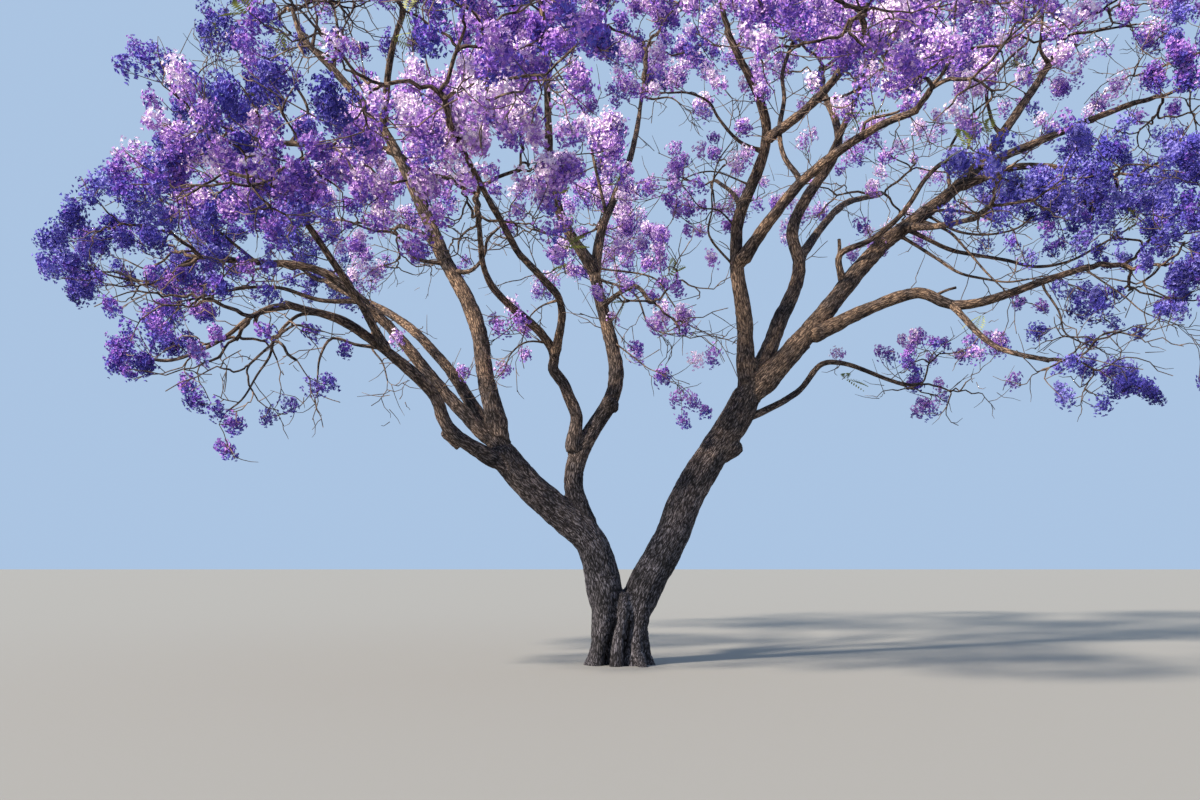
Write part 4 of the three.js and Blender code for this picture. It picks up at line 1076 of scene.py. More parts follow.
def nearest_bark(places, names):
    """For each place, its bark measure on the nearest limb and that limb's thickness there."""
    rows = []
    for name in names:
        limb = limbs[name]
        share = np.linspace(0, 1, max(12, int(limb.length / STEP_ALONG)))
        line = limb.at(share)
        ways, first, second = frames_along(line)
        shift = share * limb.length + BARK_SHIFT[name]
        rows.append(np.column_stack([first, second, ways, line, shift, limb.radius(share)]))
    rows = np.vstack(rows)
    lines = rows[:, 9:12]
    grain, radius = np.zeros((len(places), 3)), np.zeros(len(places))
    for low in range(0, len(places), BATCH):
        part = places[low : low + BATCH]
        gap = np.linalg.norm(part[:, None] - lines[None], axis=2) / rows[None, :, 13] ** NEARNESS
        row = rows[gap.argmin(1)]
        out = part - row[:, 9:12]
        for k in range(3):
            grain[low : low + BATCH, k] = np.sum(out * row[:, 3 * k : 3 * k + 3], axis=1)
        grain[low : low + BATCH, 2] += row[:, 12]
        radius[low : low + BATCH] = row[:, 13]
    return grain, radius


def corner_values(mesh, name):
    values = np.zeros(len(mesh.vertices) * 3, np.float32)
    mesh.vertices.foreach_get(name, values)
    return values.reshape(-1, 3).astype(float)


places, normals = corner_values(trunk_mesh, "co"), corner_values(trunk_mesh, "normal")
grain, radius = nearest_bark(places, list(JOINED))
above_cut = np.clip(places[:, 2] / SMOOTH_FOOT, 0, 1)
push = relief(grain, radius) * TRUNK_RELIEF
places += normals * (push * above_cut)[:, None]
places[:, 2] = np.maximum(places[:, 2], 0)
trunk_mesh.vertices.foreach_set("co", places.astype(np.float32).ravel())
store(trunk_mesh, "grain", grain)
trunk_mesh.update()
print("trunk reaches", places.min(0).round(2), places.max(0).round(2))

# %% [markdown]
# ## Limbs and boughs
#
# Beyond the forks each limb is a tube of its own. It starts inside the skin of the forks or
# inside its parent, where it swells to a collar as a grown branch does, and tapers to its tip. The
# boughs within the masses follow their lines in the same way, with fewer sides as they thin.

# %% Limbs
OVERLAP = 0.35  # how far back inside the skin of the forks a limb's tube starts
RING_STEP = 0.055
BOUGH_RING_STEP = 0.07
SIDES = [(0.11, 18), (0.07, 14), (0, 10)]  # the corners round a limb, for radii over so much

limb_wood = Wood()
for name, limb in limbs.items():
    if limb.parent is None:
        continue
    begin = max(0.0, (JOINED[name] - OVERLAP) / limb.length) if name in JOINED else 0.0
    rings = max(10, int((1 - begin) * limb.length / RING_STEP))
    share = np.linspace(begin, 1, rings)
    radii = thickness_of(limb, share)
    if name in JOINED:
        radii = radii * np.clip(0.85 + (share - begin) * limb.length / 0.8, 0.85, 1)
    sides = next(count for over, count in SIDES if limb.start > over)
    offset = BARK_SHIFT[name] + begin * limb.length
    limb_wood.add(wandering(limb, share), radii, sides, offset, limb_shape)
for bough in side_boughs:
    share = np.linspace(0, 1, max(8, int(bough.length / BOUGH_RING_STEP)))
    radii = thickness_of(bough, share)
    limb_wood.add(wandering(bough, share), radii, 8, BARK_SHIFT[bough.name], limb_shape)
for stub in stubs:
    share = np.linspace(0, 1, 8)
    limb_wood.add(stub.at(share), stub.radius(share), 10, BARK_SHIFT[stub.name], limb_shape)
limb_mesh = limb_wood.mesh("limbs")
print("limbs beyond the forks:", len(limb_mesh.polygons), "faces")

# %% Boughs within the masses
BOUGH_SIDES = [(0.03, 8), (0.018, 6), (0, 5)]
BOUGH_BARK_STEP = 1.3

bough_wood = Wood()
for number, (line, radii) in enumerate(bough_lines):
    fine = smooth_path(line, 2)
    along = np.linspace(0, 1, len(fine))
    thick = np.interp(along, np.linspace(0, 1, len(radii)), radii)
    sides = next(count for over, count in BOUGH_SIDES if thick[0] > over)
    bough_wood.add(fine, thick, sides, number * BOUGH_BARK_STEP, limb_shape)
bough_mesh = bough_wood.mesh("boughs")
print("boughs in the masses:", len(bough_mesh.polygons), "faces")

# %% [markdown]
# ## Twigs
#
# A spray is one crooked twig with a few side twigs, and most of those end in a panicle of
# blossom. The tips bend up to the light. Their places are worked out here, and each twig is kept
# as a chain of edges with a thickness at each point. Geometry Nodes then turn all the chains into
# round twigs in one go: Mesh to Curve, then Curve to Mesh with a three-cornered profile that is
# scaled by the thickness. A panicle is three tiers of flowers. Each tier takes its tint from how
# much light it gets, so blossom on the sunny side of a mass is paler than that in its shade.

# %% Where the sprays' twigs run and their panicles sit
SIDE_TWIGS = 4
SIDE_TWIG_LENGTH = (0.2, 0.48)
SPRAY_KINK = 0.04  # as a share of the spray's length
SPRAY_TIP_RADIUS = 0.0065
TWIG_STEPS = (0, 0.36, 0.7, 1)  # where a side twig's four points lie along it
TWIG_RADII = (0.0068, 0.0058, 0.0047, 0.0032)
STALK_RADII = (0.0032, 0.0018)
PANICLES_PER_TWIG = 1.8
PANICLE_REACH = 0.17  # the stalk's length
PANICLE_MIDDLE = 0.12
PANICLE_SIZES = (0.7, 1.25)
SPARSE = 0.65  # the fullness under which panicles are smaller
SPARSE_SIZE = 0.8
BARE_TWIGS = 0.45  # the share of twigs without blossom that are drawn
BARE_SPRAYS = 0.7
LEFT_MARGIN = 0.05  # metres inside the outline on the left
BARE_MARGIN = 0.3
SHELL = (0.5, 1.02)  # the depths in a mass between which panicles sit
RAGGED_DEPTH = 0.12  # how far the outer depth strays
RAGGED_SIZE = 0.7  # over how many metres
UNDERSIDE = -0.4  # the height from which it begins, as a share of the mass's half size
UNDERSIDE_SHARE = 0.6  # the panicles that stay there
CAST_SPREAD = 0.12  # metres by which the edges of the patches of tone are blurred
LIGHT_PATCH = 0.9  # metres between the brighter places of the crown
SIDE_LIGHT = 0.3  # how much painted light the sunny side of a mass gets, and painted shade its far side
LIGHT_STEP = 0.4  # metres towards the light for one step of light within a spray
LIGHT_SPREAD = (0.22, 0.4)  # how much chance counts, for a spray and for a panicle
TIERS = [(-0.9, 1.0), (0.15, 0.95), (1.15, 0.8)]  # a tier's extra light, and its size
LIGHT_SIDE = np.array([-0.022, -0.022, 0.045])  # from one tier to the next one
TOWARDS_LIGHT = unit((-0.45, -0.4, 0.8))
TINTS = [  # from the darkest to the lightest
    "indigo", "blue_violet", "deep_violet", "violet", "periwinkle", "mauve", "light_mauve", "lilac",
    "pale_lilac",
]
TINT_SHARES = {  # how much of a cast is of each tint
    "deep": (0.34, 0.38, 0.08, 0.06, 0.13, 0.01, 0, 0, 0),
    "blue": (0.26, 0.54, 0.02, 0.02, 0.16, 0, 0, 0, 0),
    "violet": (0.04, 0.15, 0.17, 0.27, 0.03, 0.18, 0.09, 0.05, 0.02),
    "lilac": (0, 0.03, 0.08, 0.18, 0.02, 0.22, 0.18, 0.16, 0.13),
    "bright": (0, 0.02, 0.05, 0.13, 0, 0.20, 0.20, 0.20, 0.20),
    "purple": (0.24, 0.26, 0.17, 0.18, 0.05, 0.07, 0.03, 0, 0),
    "rose": (0, 0.03, 0.08, 0.20, 0, 0.28, 0.22, 0.13, 0.06),
}
chains = []
stalks = []
panicles = {tint: [] for tint in TINTS}


def well_placed(mass, place):
    """Whether a panicle's middle lies in its mass's soft outer shell, thinner on the underside."""
    if mass is None:
        return True
    depth = mass.depth(place)
    low = (place[2] - mass.middle[2]) / mass.half[2] < UNDERSIDE
    ragged = SHELL[1] + RAGGED_DEPTH * float(noise_at(place / RAGGED_SIZE))
    return SHELL[0] < depth < ragged and (not low or rng.random() < UNDERSIDE_SHARE)


def tint_for(cast, light):
    """The tint of a cast for so much light, from about -2 in the shade to 2 in the sun."""
    share = 0.5 * (1 + math.erf(light / math.sqrt(2)))
    return TINTS[int(np.searchsorted(np.cumsum(TINT_SHARES[cast]), 0.999 * share))]


def side_twig(foot, way, reach):
    """A side twig's four points. It bends upwards."""
    steps = np.array(TWIG_STEPS)[:, None]
    bend = np.array([0, 0, 0.2]) + rng.normal(0, 0.2, 3)
    twig = foot + (way * steps + bend * steps**2) * reach
    twig[1:3] += rng.normal(0, 0.03 * reach, (2, 3))
    return twig


def add_panicle(twig, reach, mass, point, fullness, cast, light_of_spray):
    """Hangs a panicle near the twig's tip and says whether it found room there."""
    tip_way = unit(twig[3] - twig[2])
    way = unit(tip_way + any_way() * 0.75 + (0, 0, 0.1))
    base = twig[3] - tip_way * rng.uniform(0, 0.4) * reach
    middle = base + way * PANICLE_MIDDLE
    if not well_placed(mass, middle) or not may_flower(middle):
        return False
    stalks.append((np.array([base, base + way * PANICLE_REACH]), STALK_RADII))
    size = rng.uniform(*PANICLE_SIZES) * (SPARSE_SIZE if fullness < SPARSE else 1)
    light = light_of_spray + float((middle - point) @ TOWARDS_LIGHT) / LIGHT_STEP
    light += rng.normal(0, LIGHT_SPREAD[1])
    for tier, (lift, share) in enumerate(TIERS):
        row = (base + LIGHT_SIDE * tier * size, way, size * share)
        panicles[tint_for(cast, light + lift)].append(row)
    return True


for number, (mass, root, lead, point, radius, fullness, cast) in enumerate(sprays):
    rng = np.random.default_rng(number)  # its own, so that a change to one spray leaves the rest
    if beyond_edge(point, LEFT_MARGIN):
        continue
    spray = crooked_line(root, lead, point, SPRAY_KINK)
    along = unit(point - root)
    cast = cast_at(point + rng.normal(0, CAST_SPREAD, 3), cast)
    light = rng.normal(0, LIGHT_SPREAD[0]) + float(noise_at(point / LIGHT_PATCH))
    if mass:
        light += SIDE_LIGHT * float((point - mass.middle) / mass.half @ TOWARDS_LIGHT)
    first, second = angles_round(along)
    turn = rng.random() * FULL_TURN
    count = rng.integers(SIDE_TWIGS - 1, SIDE_TWIGS + 2)
    bare = True
    for i in range(count):
        share = min(1.0, 0.3 + 0.75 * (i + 0.5) / count)
        turn += GOLDEN_ANGLE
        known = np.linspace(0, 1, LINE_POINTS)
        foot = np.array([np.interp(share, known, spray[:, k]) for k in range(3)])
        out = first * math.cos(turn) + second * math.sin(turn)
        way = unit(along * (0.2 + 0.6 * share) + out * (1.1 - 0.5 * share) + any_way() * 0.3)
        reach = rng.uniform(*SIDE_TWIG_LENGTH) * (1.15 - 0.35 * share)
        twig = side_twig(foot, way, reach)
        wanted = rng.poisson(PANICLES_PER_TWIG * fullness * thickness_at(twig[3]))
        hung = [add_panicle(twig, reach, mass, point, fullness, cast, light) for _ in range(wanted)]
        flowering = any(hung)
        bare = bare and not flowering
        if flowering or (rng.random() < BARE_TWIGS and not beyond_edge(twig[3], BARE_MARGIN)):
            chains.append((twig, TWIG_RADII))
    if not bare or rng.random() < BARE_SPRAYS:
        chains.append((spray, np.linspace(radius * 0.8, SPRAY_TIP_RADIUS, LINE_POINTS)))
print("twigs:", len(chains), "panicles:", {tint: len(rows) for tint, rows in panicles.items()})

# %% A node tree that makes chains into twigs
def new_tree(name, sizes):
    """A node tree with these inputs, what it is given and where its result goes."""
    tree = bpy.data.node_groups.new(name, "GeometryNodeTree")
    for way in ("INPUT", "OUTPUT"):
        tree.interface.new_socket("Geometry", in_out=way, socket_type="NodeSocketGeometry")
    for label, kind, value in sizes:
        socket = tree.interface.new_socket(label, in_out="INPUT", socket_type="NodeSocket" + kind)
        if value is not None:
            socket.default_value = value
    given = tree.nodes.new("NodeGroupInput").outputs
    return tree, given, tree.nodes.new("NodeGroupOutput").inputs["Geometry"]


def set_input(modifier, tree, label, value):
    for item in tree.interface.items_tree:
        if item.item_type == "SOCKET" and item.in_out == "INPUT" and item.name == label:
            modifier[item.identifier] = value


def made_by(tree, mesh, name, **inputs):
    """The plain mesh that a node tree makes of this one."""
    holder = new_object(name, mesh)
    modifier = holder.modifiers.new("grow", "NODES")
    modifier.node_group = tree
    for label, value in inputs.items():
        set_input(modifier, tree, label.replace("_", " "), value)
    made = finished_mesh(holder)
    made.name = name
    return made


twig_tree, given, result = new_tree("round_twigs", [("corners", "Int", 3), ("bark", "Material", None)])
tree = twig_tree
curves = add_node(tree, "GeometryNodeMeshToCurve", {"Mesh": given["Geometry"]})
thick = add_node(tree, "GeometryNodeInputNamedAttribute", {"Name": "thick"}, data_type="FLOAT")
ring = add_node(tree, "GeometryNodeCurvePrimitiveCircle", {"Resolution": given["corners"], "Radius": 1.0})
profile = {"Curve": curves, "Profile Curve": ring, "Scale": thick, "Fill Caps": True}
skin = add_node(tree, "GeometryNodeCurveToMesh", profile)
flat = add_node(tree, "GeometryNodeSetShadeSmooth", {"Geometry": skin, "Shade Smooth": True})
whole = add_node(tree, "GeometryNodeRealizeInstances", {"Geometry": flat})
painted = add_node(tree, "GeometryNodeSetMaterial", {"Geometry": whole, "Material": given["bark"]})
tree.links.new(painted, result)

# %% [markdown]
# ## Bark
#
# Old bark is charcoal grey and matt, split into narrow ridges about 3 cm across and a hand or two
# long. The cracks between them are nearly black, partly darker bark and partly painted shade. A
# cell pattern gives the cracks, as the distance to the edge of its cells, drawn in the bark's own
# measure and stretched six times lengthwise. Streaks of noise a little over 1 cm wide break up the
# ridges, and both together also drive a bump. Higher up the bark is warmer and paler, partly as
# thinner bark and partly as painted sunlight on the limbs, and the trunk below is darker, as older
# bark and as painted shade from the crown. Everywhere it is lighter and darker in patches about
# 40 cm long, which larger noise gives: bleached bark, and painted flecks of sun through the crown.
# On young twigs it is plain and smooth.

# %% Bark materials
def furrowed_bark():
    bark, tree, shader = new_material("furrowed_bark", {"Roughness": 0.9, "Specular IOR Level": 0.25})
    grain = {"attribute_name": "grain", "attribute_type": "GEOMETRY"}
    measure = add_node(tree, "ShaderNodeAttribute", output="Vector", **grain)
    waver = add_node(tree, "ShaderNodeTexNoise", {"Vector": measure, "Scale": 9.0, "Detail": 2.0}, "Color")
    wavering = {0: waver, 1: (0.045, 0.045, 0.045), 2: measure}
    moved = add_node(tree, "ShaderNodeVectorMath", wavering, operation="MULTIPLY_ADD")
    drawn_out = add_node(tree, "ShaderNodeMapping", {"Vector": moved, "Scale": (1, 1, 0.16)})
    cells = {"Vector": drawn_out, "Scale": 34.0, "Randomness": 1.0}
    cracks = add_node(tree, "ShaderNodeTexVoronoi", cells, "Distance", feature="DISTANCE_TO_EDGE")
    fine = {"Vector": drawn_out, "Scale": 75.0, "Detail": 5.0, "Roughness": 0.72}
    streaks = add_node(tree, "ShaderNodeTexNoise", fine, "Fac")
    broad = {"Vector": measure, "Scale": 2.4, "Detail": 3.0, "Roughness": 0.6}
    patches = add_node(tree, "ShaderNodeTexNoise", broad, "Fac")
    place = add_node(tree, "ShaderNodeTexCoord", output="Object")
    height = add_node(tree, "ShaderNodeSeparateXYZ", {0: place}, "Z")
    ridge = add_node(tree, "ShaderNodeMapRange", {0: cracks, 1: 0.0, 2: 0.16, 3: 0.0, 4: 0.22})
    surface = add_node(tree, "ShaderNodeMath", {0: streaks, 1: 1.0, 2: ridge}, operation="MULTIPLY_ADD")
    tones = add_node(tree, "ShaderNodeValToRGB", {"Fac": surface})
    # Both ramps run down to near black in the cracks: darker bark, with painted shade there. This cool ramp
    # is also the trunk's, darker in part as painted shade from the crown.
    set_ramp(tones, (0.42, "#0E0D0F"), (0.66, "#2A282C"), (0.88, "#86828A"))
    # The warm ramp makes the higher bark warmer and paler: thinner bark, and painted sunlight on the limbs.
    warm_sunlit_tones = add_node(tree, "ShaderNodeValToRGB", {"Fac": surface})
    set_ramp(warm_sunlit_tones, (0.42, "#1A1411"), (0.66, "#4E4037"), (0.92, "#B2967D"))
    risen_into_sun = add_node(tree, "ShaderNodeMapRange", {0: height, 1: 1.6, 2: 5.0, 3: 0.0, 4: 0.9})
    patchy = add_node(tree, "ShaderNodeMapRange", {0: patches, 1: 0.4, 2: 0.6, 3: 0.45, 4: 1.3})
    warmth_and_sun = add_node(tree, "ShaderNodeMath", {0: risen_into_sun, 1: patchy}, operation="MULTIPLY", use_clamp=True)
    blend = add_node(tree, "ShaderNodeMix", {0: warmth_and_sun, 6: tones, 7: warm_sunlit_tones}, 2, data_type="RGBA")
    # Lighter and darker patches: bleached bark, and painted flecks of sun through the crown.
    bleach_and_sun_flecks = add_node(tree, "ShaderNodeMapRange", {0: patches, 1: 0.38, 2: 0.64, 3: 0.66, 4: 1.6})
    weathered_and_sunlit = add_node(tree, "ShaderNodeHueSaturation", {"Value": bleach_and_sun_flecks, "Color": blend})
    rough = {"Height": surface, "Strength": 0.9, "Distance": 0.022}
    bump = add_node(tree, "ShaderNodeBump", rough, "Normal")
    tree.links.new(weathered_and_sunlit, shader["Base Color"])
    tree.links.new(bump, shader["Normal"])
    return bark


def mottled(name, roughness, scale, *stops):
    """A matt material mottled by noise between the tones of a ramp."""
    made, tree, shader = new_material(name, {"Roughness": roughness})
    place = add_node(tree, "ShaderNodeTexCoord", output="Object")
    noise = add_node(tree, "ShaderNodeTexNoise", {"Vector": place, "Scale": scale, "Detail": 2.0}, "Fac")
    tones = add_node(tree, "ShaderNodeValToRGB", {"Fac": noise})
    set_ramp(tones, *stops)
    tree.links.new(tones, shader["Base Color"])
    return made


old_wood = furrowed_bark()
young_wood = mottled("young_twig_bark", 0.85, 9.0, (0.35, "#332A26"), (0.7, "#8C7666"))
print("barks:", old_wood.name, young_wood.name)

# %% Twigs and stalks as meshes
def chain_mesh(name, chains):
    """Chains of edges, with the thickness at each of their points."""
    edges, start = [], 0
    for line, _ in chains:
        edges += [(k, k + 1) for k in range(start, start + len(line) - 1)]
        start += len(line)
    mesh = plain_mesh(name, np.vstack([line for line, _ in chains]), edges, [])
    store(mesh, "thick", np.concatenate([radii for _, radii in chains]), "FLOAT")
    return mesh


twig_mesh = made_by(twig_tree, chain_mesh("twig_chains", chains), "twigs", bark=young_wood, corners=3)
stalk_mesh = made_by(twig_tree, chain_mesh("stalk_chains", stalks), "stalks", bark=young_wood, corners=3)
print("twigs:", len(twig_mesh.polygons), "faces, stalks:", len(stalk_mesh.polygons), "faces")

# %% [markdown]
# ## Flowers
#
# A jacaranda's flower is a trumpet about 4 cm long with soft lobes, and dozens hang round each
# panicle. From this far a flower is two or three pixels, so three faces are enough, wide
# lobes that open from the throat, and facing outwards they shade each panicle as one soft form. A
# panicle has three tiers of them, and each lies a little nearer the light than the last and is
# paler. Geometry Nodes place them: first the spiral of places round each tier's stalk, then a
# flower at each place, turned outwards and a little forwards, each one a different size.

# %% One flower
LOBES = 3
LOBE_REACH = 0.72  # as a share of the flower's length, like the heights
LOBE_CORNERS = [(-0.85, 0.4), (0.85, 0.56)]  # angle from the lobe's middle, and height

corners, faces = [(0, 0, 0)], []
for lobe in range(LOBES):
    for side, high in LOBE_CORNERS:
        angle = lobe * math.tau / LOBES + side
        corners.append((LOBE_REACH * math.cos(angle), LOBE_REACH * math.sin(angle), high))
    faces.append((0, len(corners) - 2, len(corners) - 1))
flower = new_object("flower_pattern", plain_mesh("flower", corners, [], faces))
print("faces of a flower:", len(faces))

# %% A node tree that hangs flowers on panicles
FLOWERS_PER_PANICLE = 23
PANICLE_LENGTH = 0.23
PANICLE_HALF_WIDTH = 0.095
FLOWER_LENGTH = 0.038
NARROWEST = 0.25  # the panicle's tip, as a share of its half width
FORWARDS = -0.72  # how much of a flower's place along the panicle doesn't turn it
SAG = (0, 0, -0.02)
JITTER = 0.045
FLOWER_SIZES = (0.75, 1.25)

flower_tree, given, result = new_tree("flowers_on_panicles", [
    ("flowers", "Int", FLOWERS_PER_PANICLE), ("panicle length", "Float", PANICLE_LENGTH),
    ("panicle half width", "Float", PANICLE_HALF_WIDTH), ("flower length", "Float", FLOWER_LENGTH),
    ("seed", "Int", 1), ("pattern", "Object", None), ("petals", "Material", None),
])
tree = flower_tree
index = add_node(tree, "GeometryNodeInputIndex")
step = add_node(tree, "ShaderNodeMath", {0: index, 1: 0.5}, operation="ADD")
share = add_node(tree, "ShaderNodeMath", {0: step, 1: given["flowers"]}, operation="DIVIDE")
turn = add_node(tree, "ShaderNodeMath", {0: index, 1: GOLDEN_ANGLE}, operation="MULTIPLY")
height = add_node(tree, "ShaderNodeMath", {0: share, 1: given["panicle length"]}, operation="MULTIPLY")
narrow = add_node(tree, "ShaderNodeMapRange", {0: share, 1: 0.0, 2: 1.0, 3: 1.0, 4: NARROWEST})
wide = add_node(tree, "ShaderNodeMath", {0: narrow, 1: given["panicle half width"]}, operation="MULTIPLY")
across = add_node(tree, "ShaderNodeMath", {0: turn}, operation="COSINE")
over = add_node(tree, "ShaderNodeMath", {0: turn}, operation="SINE")
x = add_node(tree, "ShaderNodeMath", {0: across, 1: wide}, operation="MULTIPLY")
y = add_node(tree, "ShaderNodeMath", {0: over, 1: wide}, operation="MULTIPLY")
place = add_node(tree, "ShaderNodeCombineXYZ", {"X": x, "Y": y, "Z": height})
stalk = add_node(tree, "GeometryNodePoints", {"Count": given["flowers"], "Position": place})

panicle_points = add_node(tree, "GeometryNodeMeshToPoints", {"Mesh": given["Geometry"]})
way = add_node(tree, "GeometryNodeInputNamedAttribute", {"Name": "way"}, data_type="FLOAT_VECTOR")
size = add_node(tree, "GeometryNodeInputNamedAttribute", {"Name": "size"}, data_type="FLOAT")
foot = add_node(tree, "GeometryNodeInputPosition")
stored = {"Geometry": panicle_points, "Name": "root", "Value": foot}
rooted = add_node(tree, "GeometryNodeStoreNamedAttribute", stored, data_type="FLOAT_VECTOR", domain="POINT")
facing = add_node(tree, "FunctionNodeAlignRotationToVector", {"Vector": way}, axis="Z")
any_turn = {2: 0.0, 3: 6.283, "Seed": given["seed"]}
spin = add_node(tree, "FunctionNodeRandomValue", any_turn, 1, data_type="FLOAT")
spun = add_node(tree, "FunctionNodeAxisAngleToRotation", {"Axis": (0, 0, 1), "Angle": spin})
rotations = {"Rotation": facing, "Rotate By": spun}
turned = add_node(tree, "FunctionNodeRotateRotation", rotations, rotation_space="LOCAL")
copies = {"Points": rooted, "Instance": stalk, "Rotation": turned, "Scale": size}
hung = add_node(tree, "GeometryNodeInstanceOnPoints", copies)
places_of_flowers = add_node(tree, "GeometryNodeRealizeInstances", {"Geometry": hung})

limits = {0: (-JITTER,) * 3, 1: (JITTER,) * 3, "Seed": given["seed"]}
jitter = add_node(tree, "FunctionNodeRandomValue", limits, data_type="FLOAT_VECTOR")
loose = add_node(tree, "GeometryNodeSetPosition", {"Geometry": places_of_flowers, "Offset": jitter})
here = add_node(tree, "GeometryNodeInputPosition")
root = add_node(tree, "GeometryNodeInputNamedAttribute", {"Name": "root"}, data_type="FLOAT_VECTOR")
arm = add_node(tree, "ShaderNodeVectorMath", {0: here, 1: root}, operation="SUBTRACT")
forward = add_node(tree, "ShaderNodeVectorMath", {0: arm, 1: way}, "Value", operation="DOT_PRODUCT")
held_back = add_node(tree, "ShaderNodeMath", {0: forward, 1: FORWARDS}, operation="MULTIPLY")
back = add_node(tree, "ShaderNodeVectorMath", {0: way, "Scale": held_back}, operation="SCALE")
outward = add_node(tree, "ShaderNodeVectorMath", {0: arm, 1: back}, operation="ADD")
sagging = add_node(tree, "ShaderNodeVectorMath", {0: outward, 1: SAG}, operation="ADD")
flower_way = add_node(tree, "FunctionNodeAlignRotationToVector", {"Vector": sagging}, axis="Z")
sizes = {2: FLOWER_SIZES[0], 3: FLOWER_SIZES[1], "Seed": given["seed"]}
spread = add_node(tree, "FunctionNodeRandomValue", sizes, 1, data_type="FLOAT")
flower_size = add_node(tree, "ShaderNodeMath", {0: spread, 1: given["flower length"]}, operation="MULTIPLY")
shape = add_node(tree, "GeometryNodeObjectInfo", {"Object": given["pattern"]}, "Geometry")
copies = {"Points": loose, "Instance": shape, "Rotation": flower_way, "Scale": flower_size}
flowers = add_node(tree, "GeometryNodeInstanceOnPoints", copies)
whole = add_node(tree, "GeometryNodeRealizeInstances", {"Geometry": flowers})
flat = add_node(tree, "GeometryNodeSetShadeSmooth", {"Geometry": whole, "Shade Smooth": False})
painted = add_node(tree, "GeometryNodeSetMaterial", {"Geometry": flat, "Material": given["petals"]})
tree.links.new(painted, result)
print("nodes in the tree:", len(tree.nodes))

# %% [markdown]
# ## Petals
#
# Petals are thin and matt with a faint bloom of fine hairs, like the softest paper, which a high
# roughness and a little sheen give. The base colours run from indigo to a pale, almost pink lilac,
# and besides the blossom's own tone they hold painted light and shade: a spray keeps to tones that
# lie side by side, painted paler towards the sun and darker in the shade. A pattern would fall
# anywhere on so many small faces, so the tones are plain base colours, dealt out spray by spray.

# %% Petal materials
# The indigo end is mostly painted shade and the pale lilac end mostly painted sunlight, over the blossom's
# own violet.
PETAL_COLOURS = {
    "indigo": "#413A98", "blue_violet": "#5A53BC", "deep_violet": "#6444AC", "violet": "#8058C6",
    "periwinkle": "#8B86D6", "mauve": "#A674D0", "light_mauve": "#BE90DF", "lilac": "#DAB8ED",
    "pale_lilac": "#F6E6FB",
}
PETAL_SURFACE = {"Roughness": 0.7, "Specular IOR Level": 0.2, "Sheen Weight": 0.15}


def point_mesh(rows):
    """A point for each tier of flowers, with its direction and size."""
    mesh = plain_mesh("panicle_places", [base for base, _, _ in rows], [], [])
    store(mesh, "way", [way for _, way, _ in rows])
    store(mesh, "size", [size for _, _, size in rows], "FLOAT")
    return mesh


blossom_meshes = {}
for seed, tint in enumerate(TINTS, 1):
    colour = {"Base Color": linear(PETAL_COLOURS[tint])}
    petal, _, _ = new_material(f"{tint}_petal", colour | PETAL_SURFACE)
    blossom_meshes[tint] = made_by(
        flower_tree, point_mesh(panicles[tint]), f"blossom_{tint}", pattern=flower, petals=petal, seed=seed
    )
    print(tint, len(blossom_meshes[tint].polygons), "faces")
bpy.data.objects.remove(flower)

# %% [markdown]
# ## First leaves
#
# Leaves follow the blossom, so only a few young ones have opened: soft, yellow-green and feathery,
# a hand or two long. Each is a curved midrib with pairs of narrow fingers, and a finger is one
# four-cornered face. They sit in tufts of three at twig tips, mostly where the tree shows them
# from the front, with a few dealt out over the rest of the crown.

# %% Leaves
LEAF_LENGTH = 0.3
LEAF_LENGTHS = (0.7, 1.1)  # shares of it
LEAF_PAIRS = 8
FINGER_LENGTH = 0.36  # this and the next three are shares of the leaf's or the finger's length
FINGER_HALF_WIDTH = 0.045
LEAF_SAG = 0.35
FINGER_SAG = 0.25
TUFT = 3
TUFT_MARGIN = 0.3  # metres inside the outline on the left
LEAFY_SHARE = 0.8  # of sprays that bear a tuft where leaves show, and elsewhere
OTHER_SHARE = 0.015
LEAFY = [  # ellipses in the picture plane
    (-5.76, 7.86, 0.25, 0.22), (-0.64, 6.34, 0.25, 0.25), (-0.84, 5.82, 0.22, 0.22),
    (0.12, 7.1, 0.2, 0.2), (5.35, 8.13, 0.38, 0.45), (-5.16, 9.4, 0.22, 0.22),
]
leaf_rng = np.random.default_rng(31)


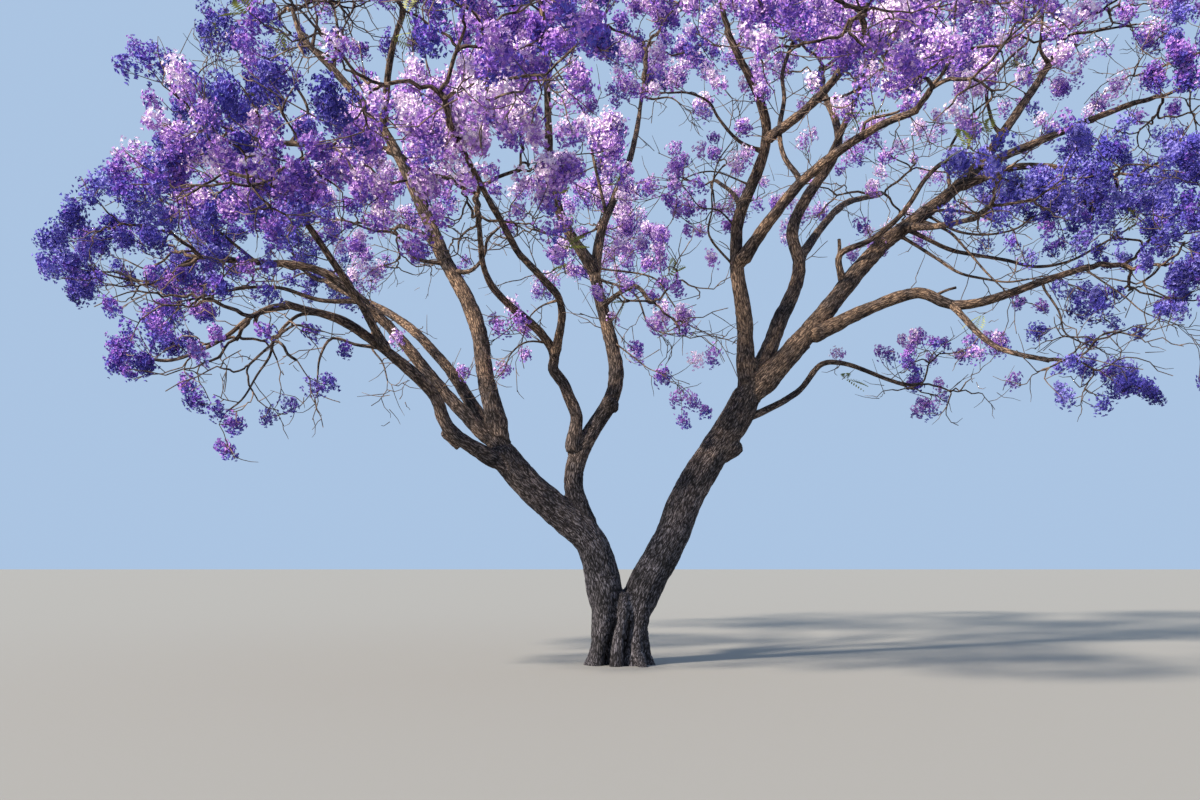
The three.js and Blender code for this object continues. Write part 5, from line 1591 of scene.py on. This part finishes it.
def leaf_at(foot, way, length):
    """Corners and faces of one leaf that arches over from its foot."""
    side = unit(np.cross(way, (0, 0, 1)) + leaf_rng.normal(0, 0.2, 3))
    corners, faces = [], []
    for i in range(LEAF_PAIRS):
        share = (i + 0.6) / LEAF_PAIRS
        rib = foot + way * length * share + np.array([0, 0, -LEAF_SAG]) * length * share**2
        finger = length * FINGER_LENGTH * math.sin(math.pi * (0.12 + 0.8 * share))
        for hand in (-1, 1):
            tip = rib + side * hand * finger + way * finger * 0.5 + (0, 0, -FINGER_SAG * finger)
            half = way * length * FINGER_HALF_WIDTH
            middle = (rib + tip) / 2
            faces.append([len(corners) + k for k in range(4)][::hand])
            corners += [rib, middle - half, tip, middle + half]
    return corners, faces


corners, faces = [], []
for _, root, _, point, *_ in sprays:
    x, z, _ = seen_from_front(point)
    shown = any(within(row, x, z) for row in LEAFY)
    if beyond_edge(point, TUFT_MARGIN) or leaf_rng.random() > (LEAFY_SHARE if shown else OTHER_SHARE):
        continue
    for _ in range(TUFT):
        way = unit(unit(point - root) + leaf_rng.normal(0, 0.6, 3) + (0, 0, 0.3))
        leaf_corners, leaf_faces = leaf_at(point, way, LEAF_LENGTH * leaf_rng.uniform(*LEAF_LENGTHS))
        faces += [[k + len(corners) for k in face] for face in leaf_faces]
        corners += leaf_corners
leaf_mesh = plain_mesh("leaves", corners, [], faces)
young_leaf = mottled("young_leaf", 0.55, 12.0, (0.35, "#5D6B2E"), (0.65, "#A3A84E"))
print("leaves:", len(faces) // (2 * LEAF_PAIRS))

# %% [markdown]
# ## Putting the pieces on the frame
#
# Every piece rides on the tree's one body. The skin of the trunk, the limbs and the boughs take
# the place of the plain solids, and each names the material slot that its finish belongs to.

# %% Pieces
def add_piece(name, mesh, material=None, smooth=False):
    piece = new_object(name, mesh)
    if material:
        mesh.materials.clear()
        mesh.materials.append(material)
    if smooth:
        mesh.shade_smooth()
    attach(piece, "root")
    return piece


trunk = add_piece("trunk_and_forks", trunk_mesh, old_wood, smooth=True)
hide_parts("trunk", "stem_left", "stem_right")
limb_piece = add_piece("limbs_wood", limb_mesh, old_wood, smooth=True)
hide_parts(*[name for name, limb in limbs.items() if limb.parent])
add_piece("boughs_wood", bough_mesh, old_wood, smooth=True)
add_piece("twigs", twig_mesh)
add_piece("stalks", stalk_mesh)
for tint, mesh in blossom_meshes.items():
    piece = add_piece(f"blossom_{tint}_flowers", mesh)
    if tint == "violet":
        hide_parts(*[f"blossom_{mass.limb.name}" for mass in masses])
add_piece("young_leaves", leaf_mesh, young_leaf)

total = sum(len(p.vertices) - 2 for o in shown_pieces() for p in o.data.polygons)
print("triangles in all:", total)
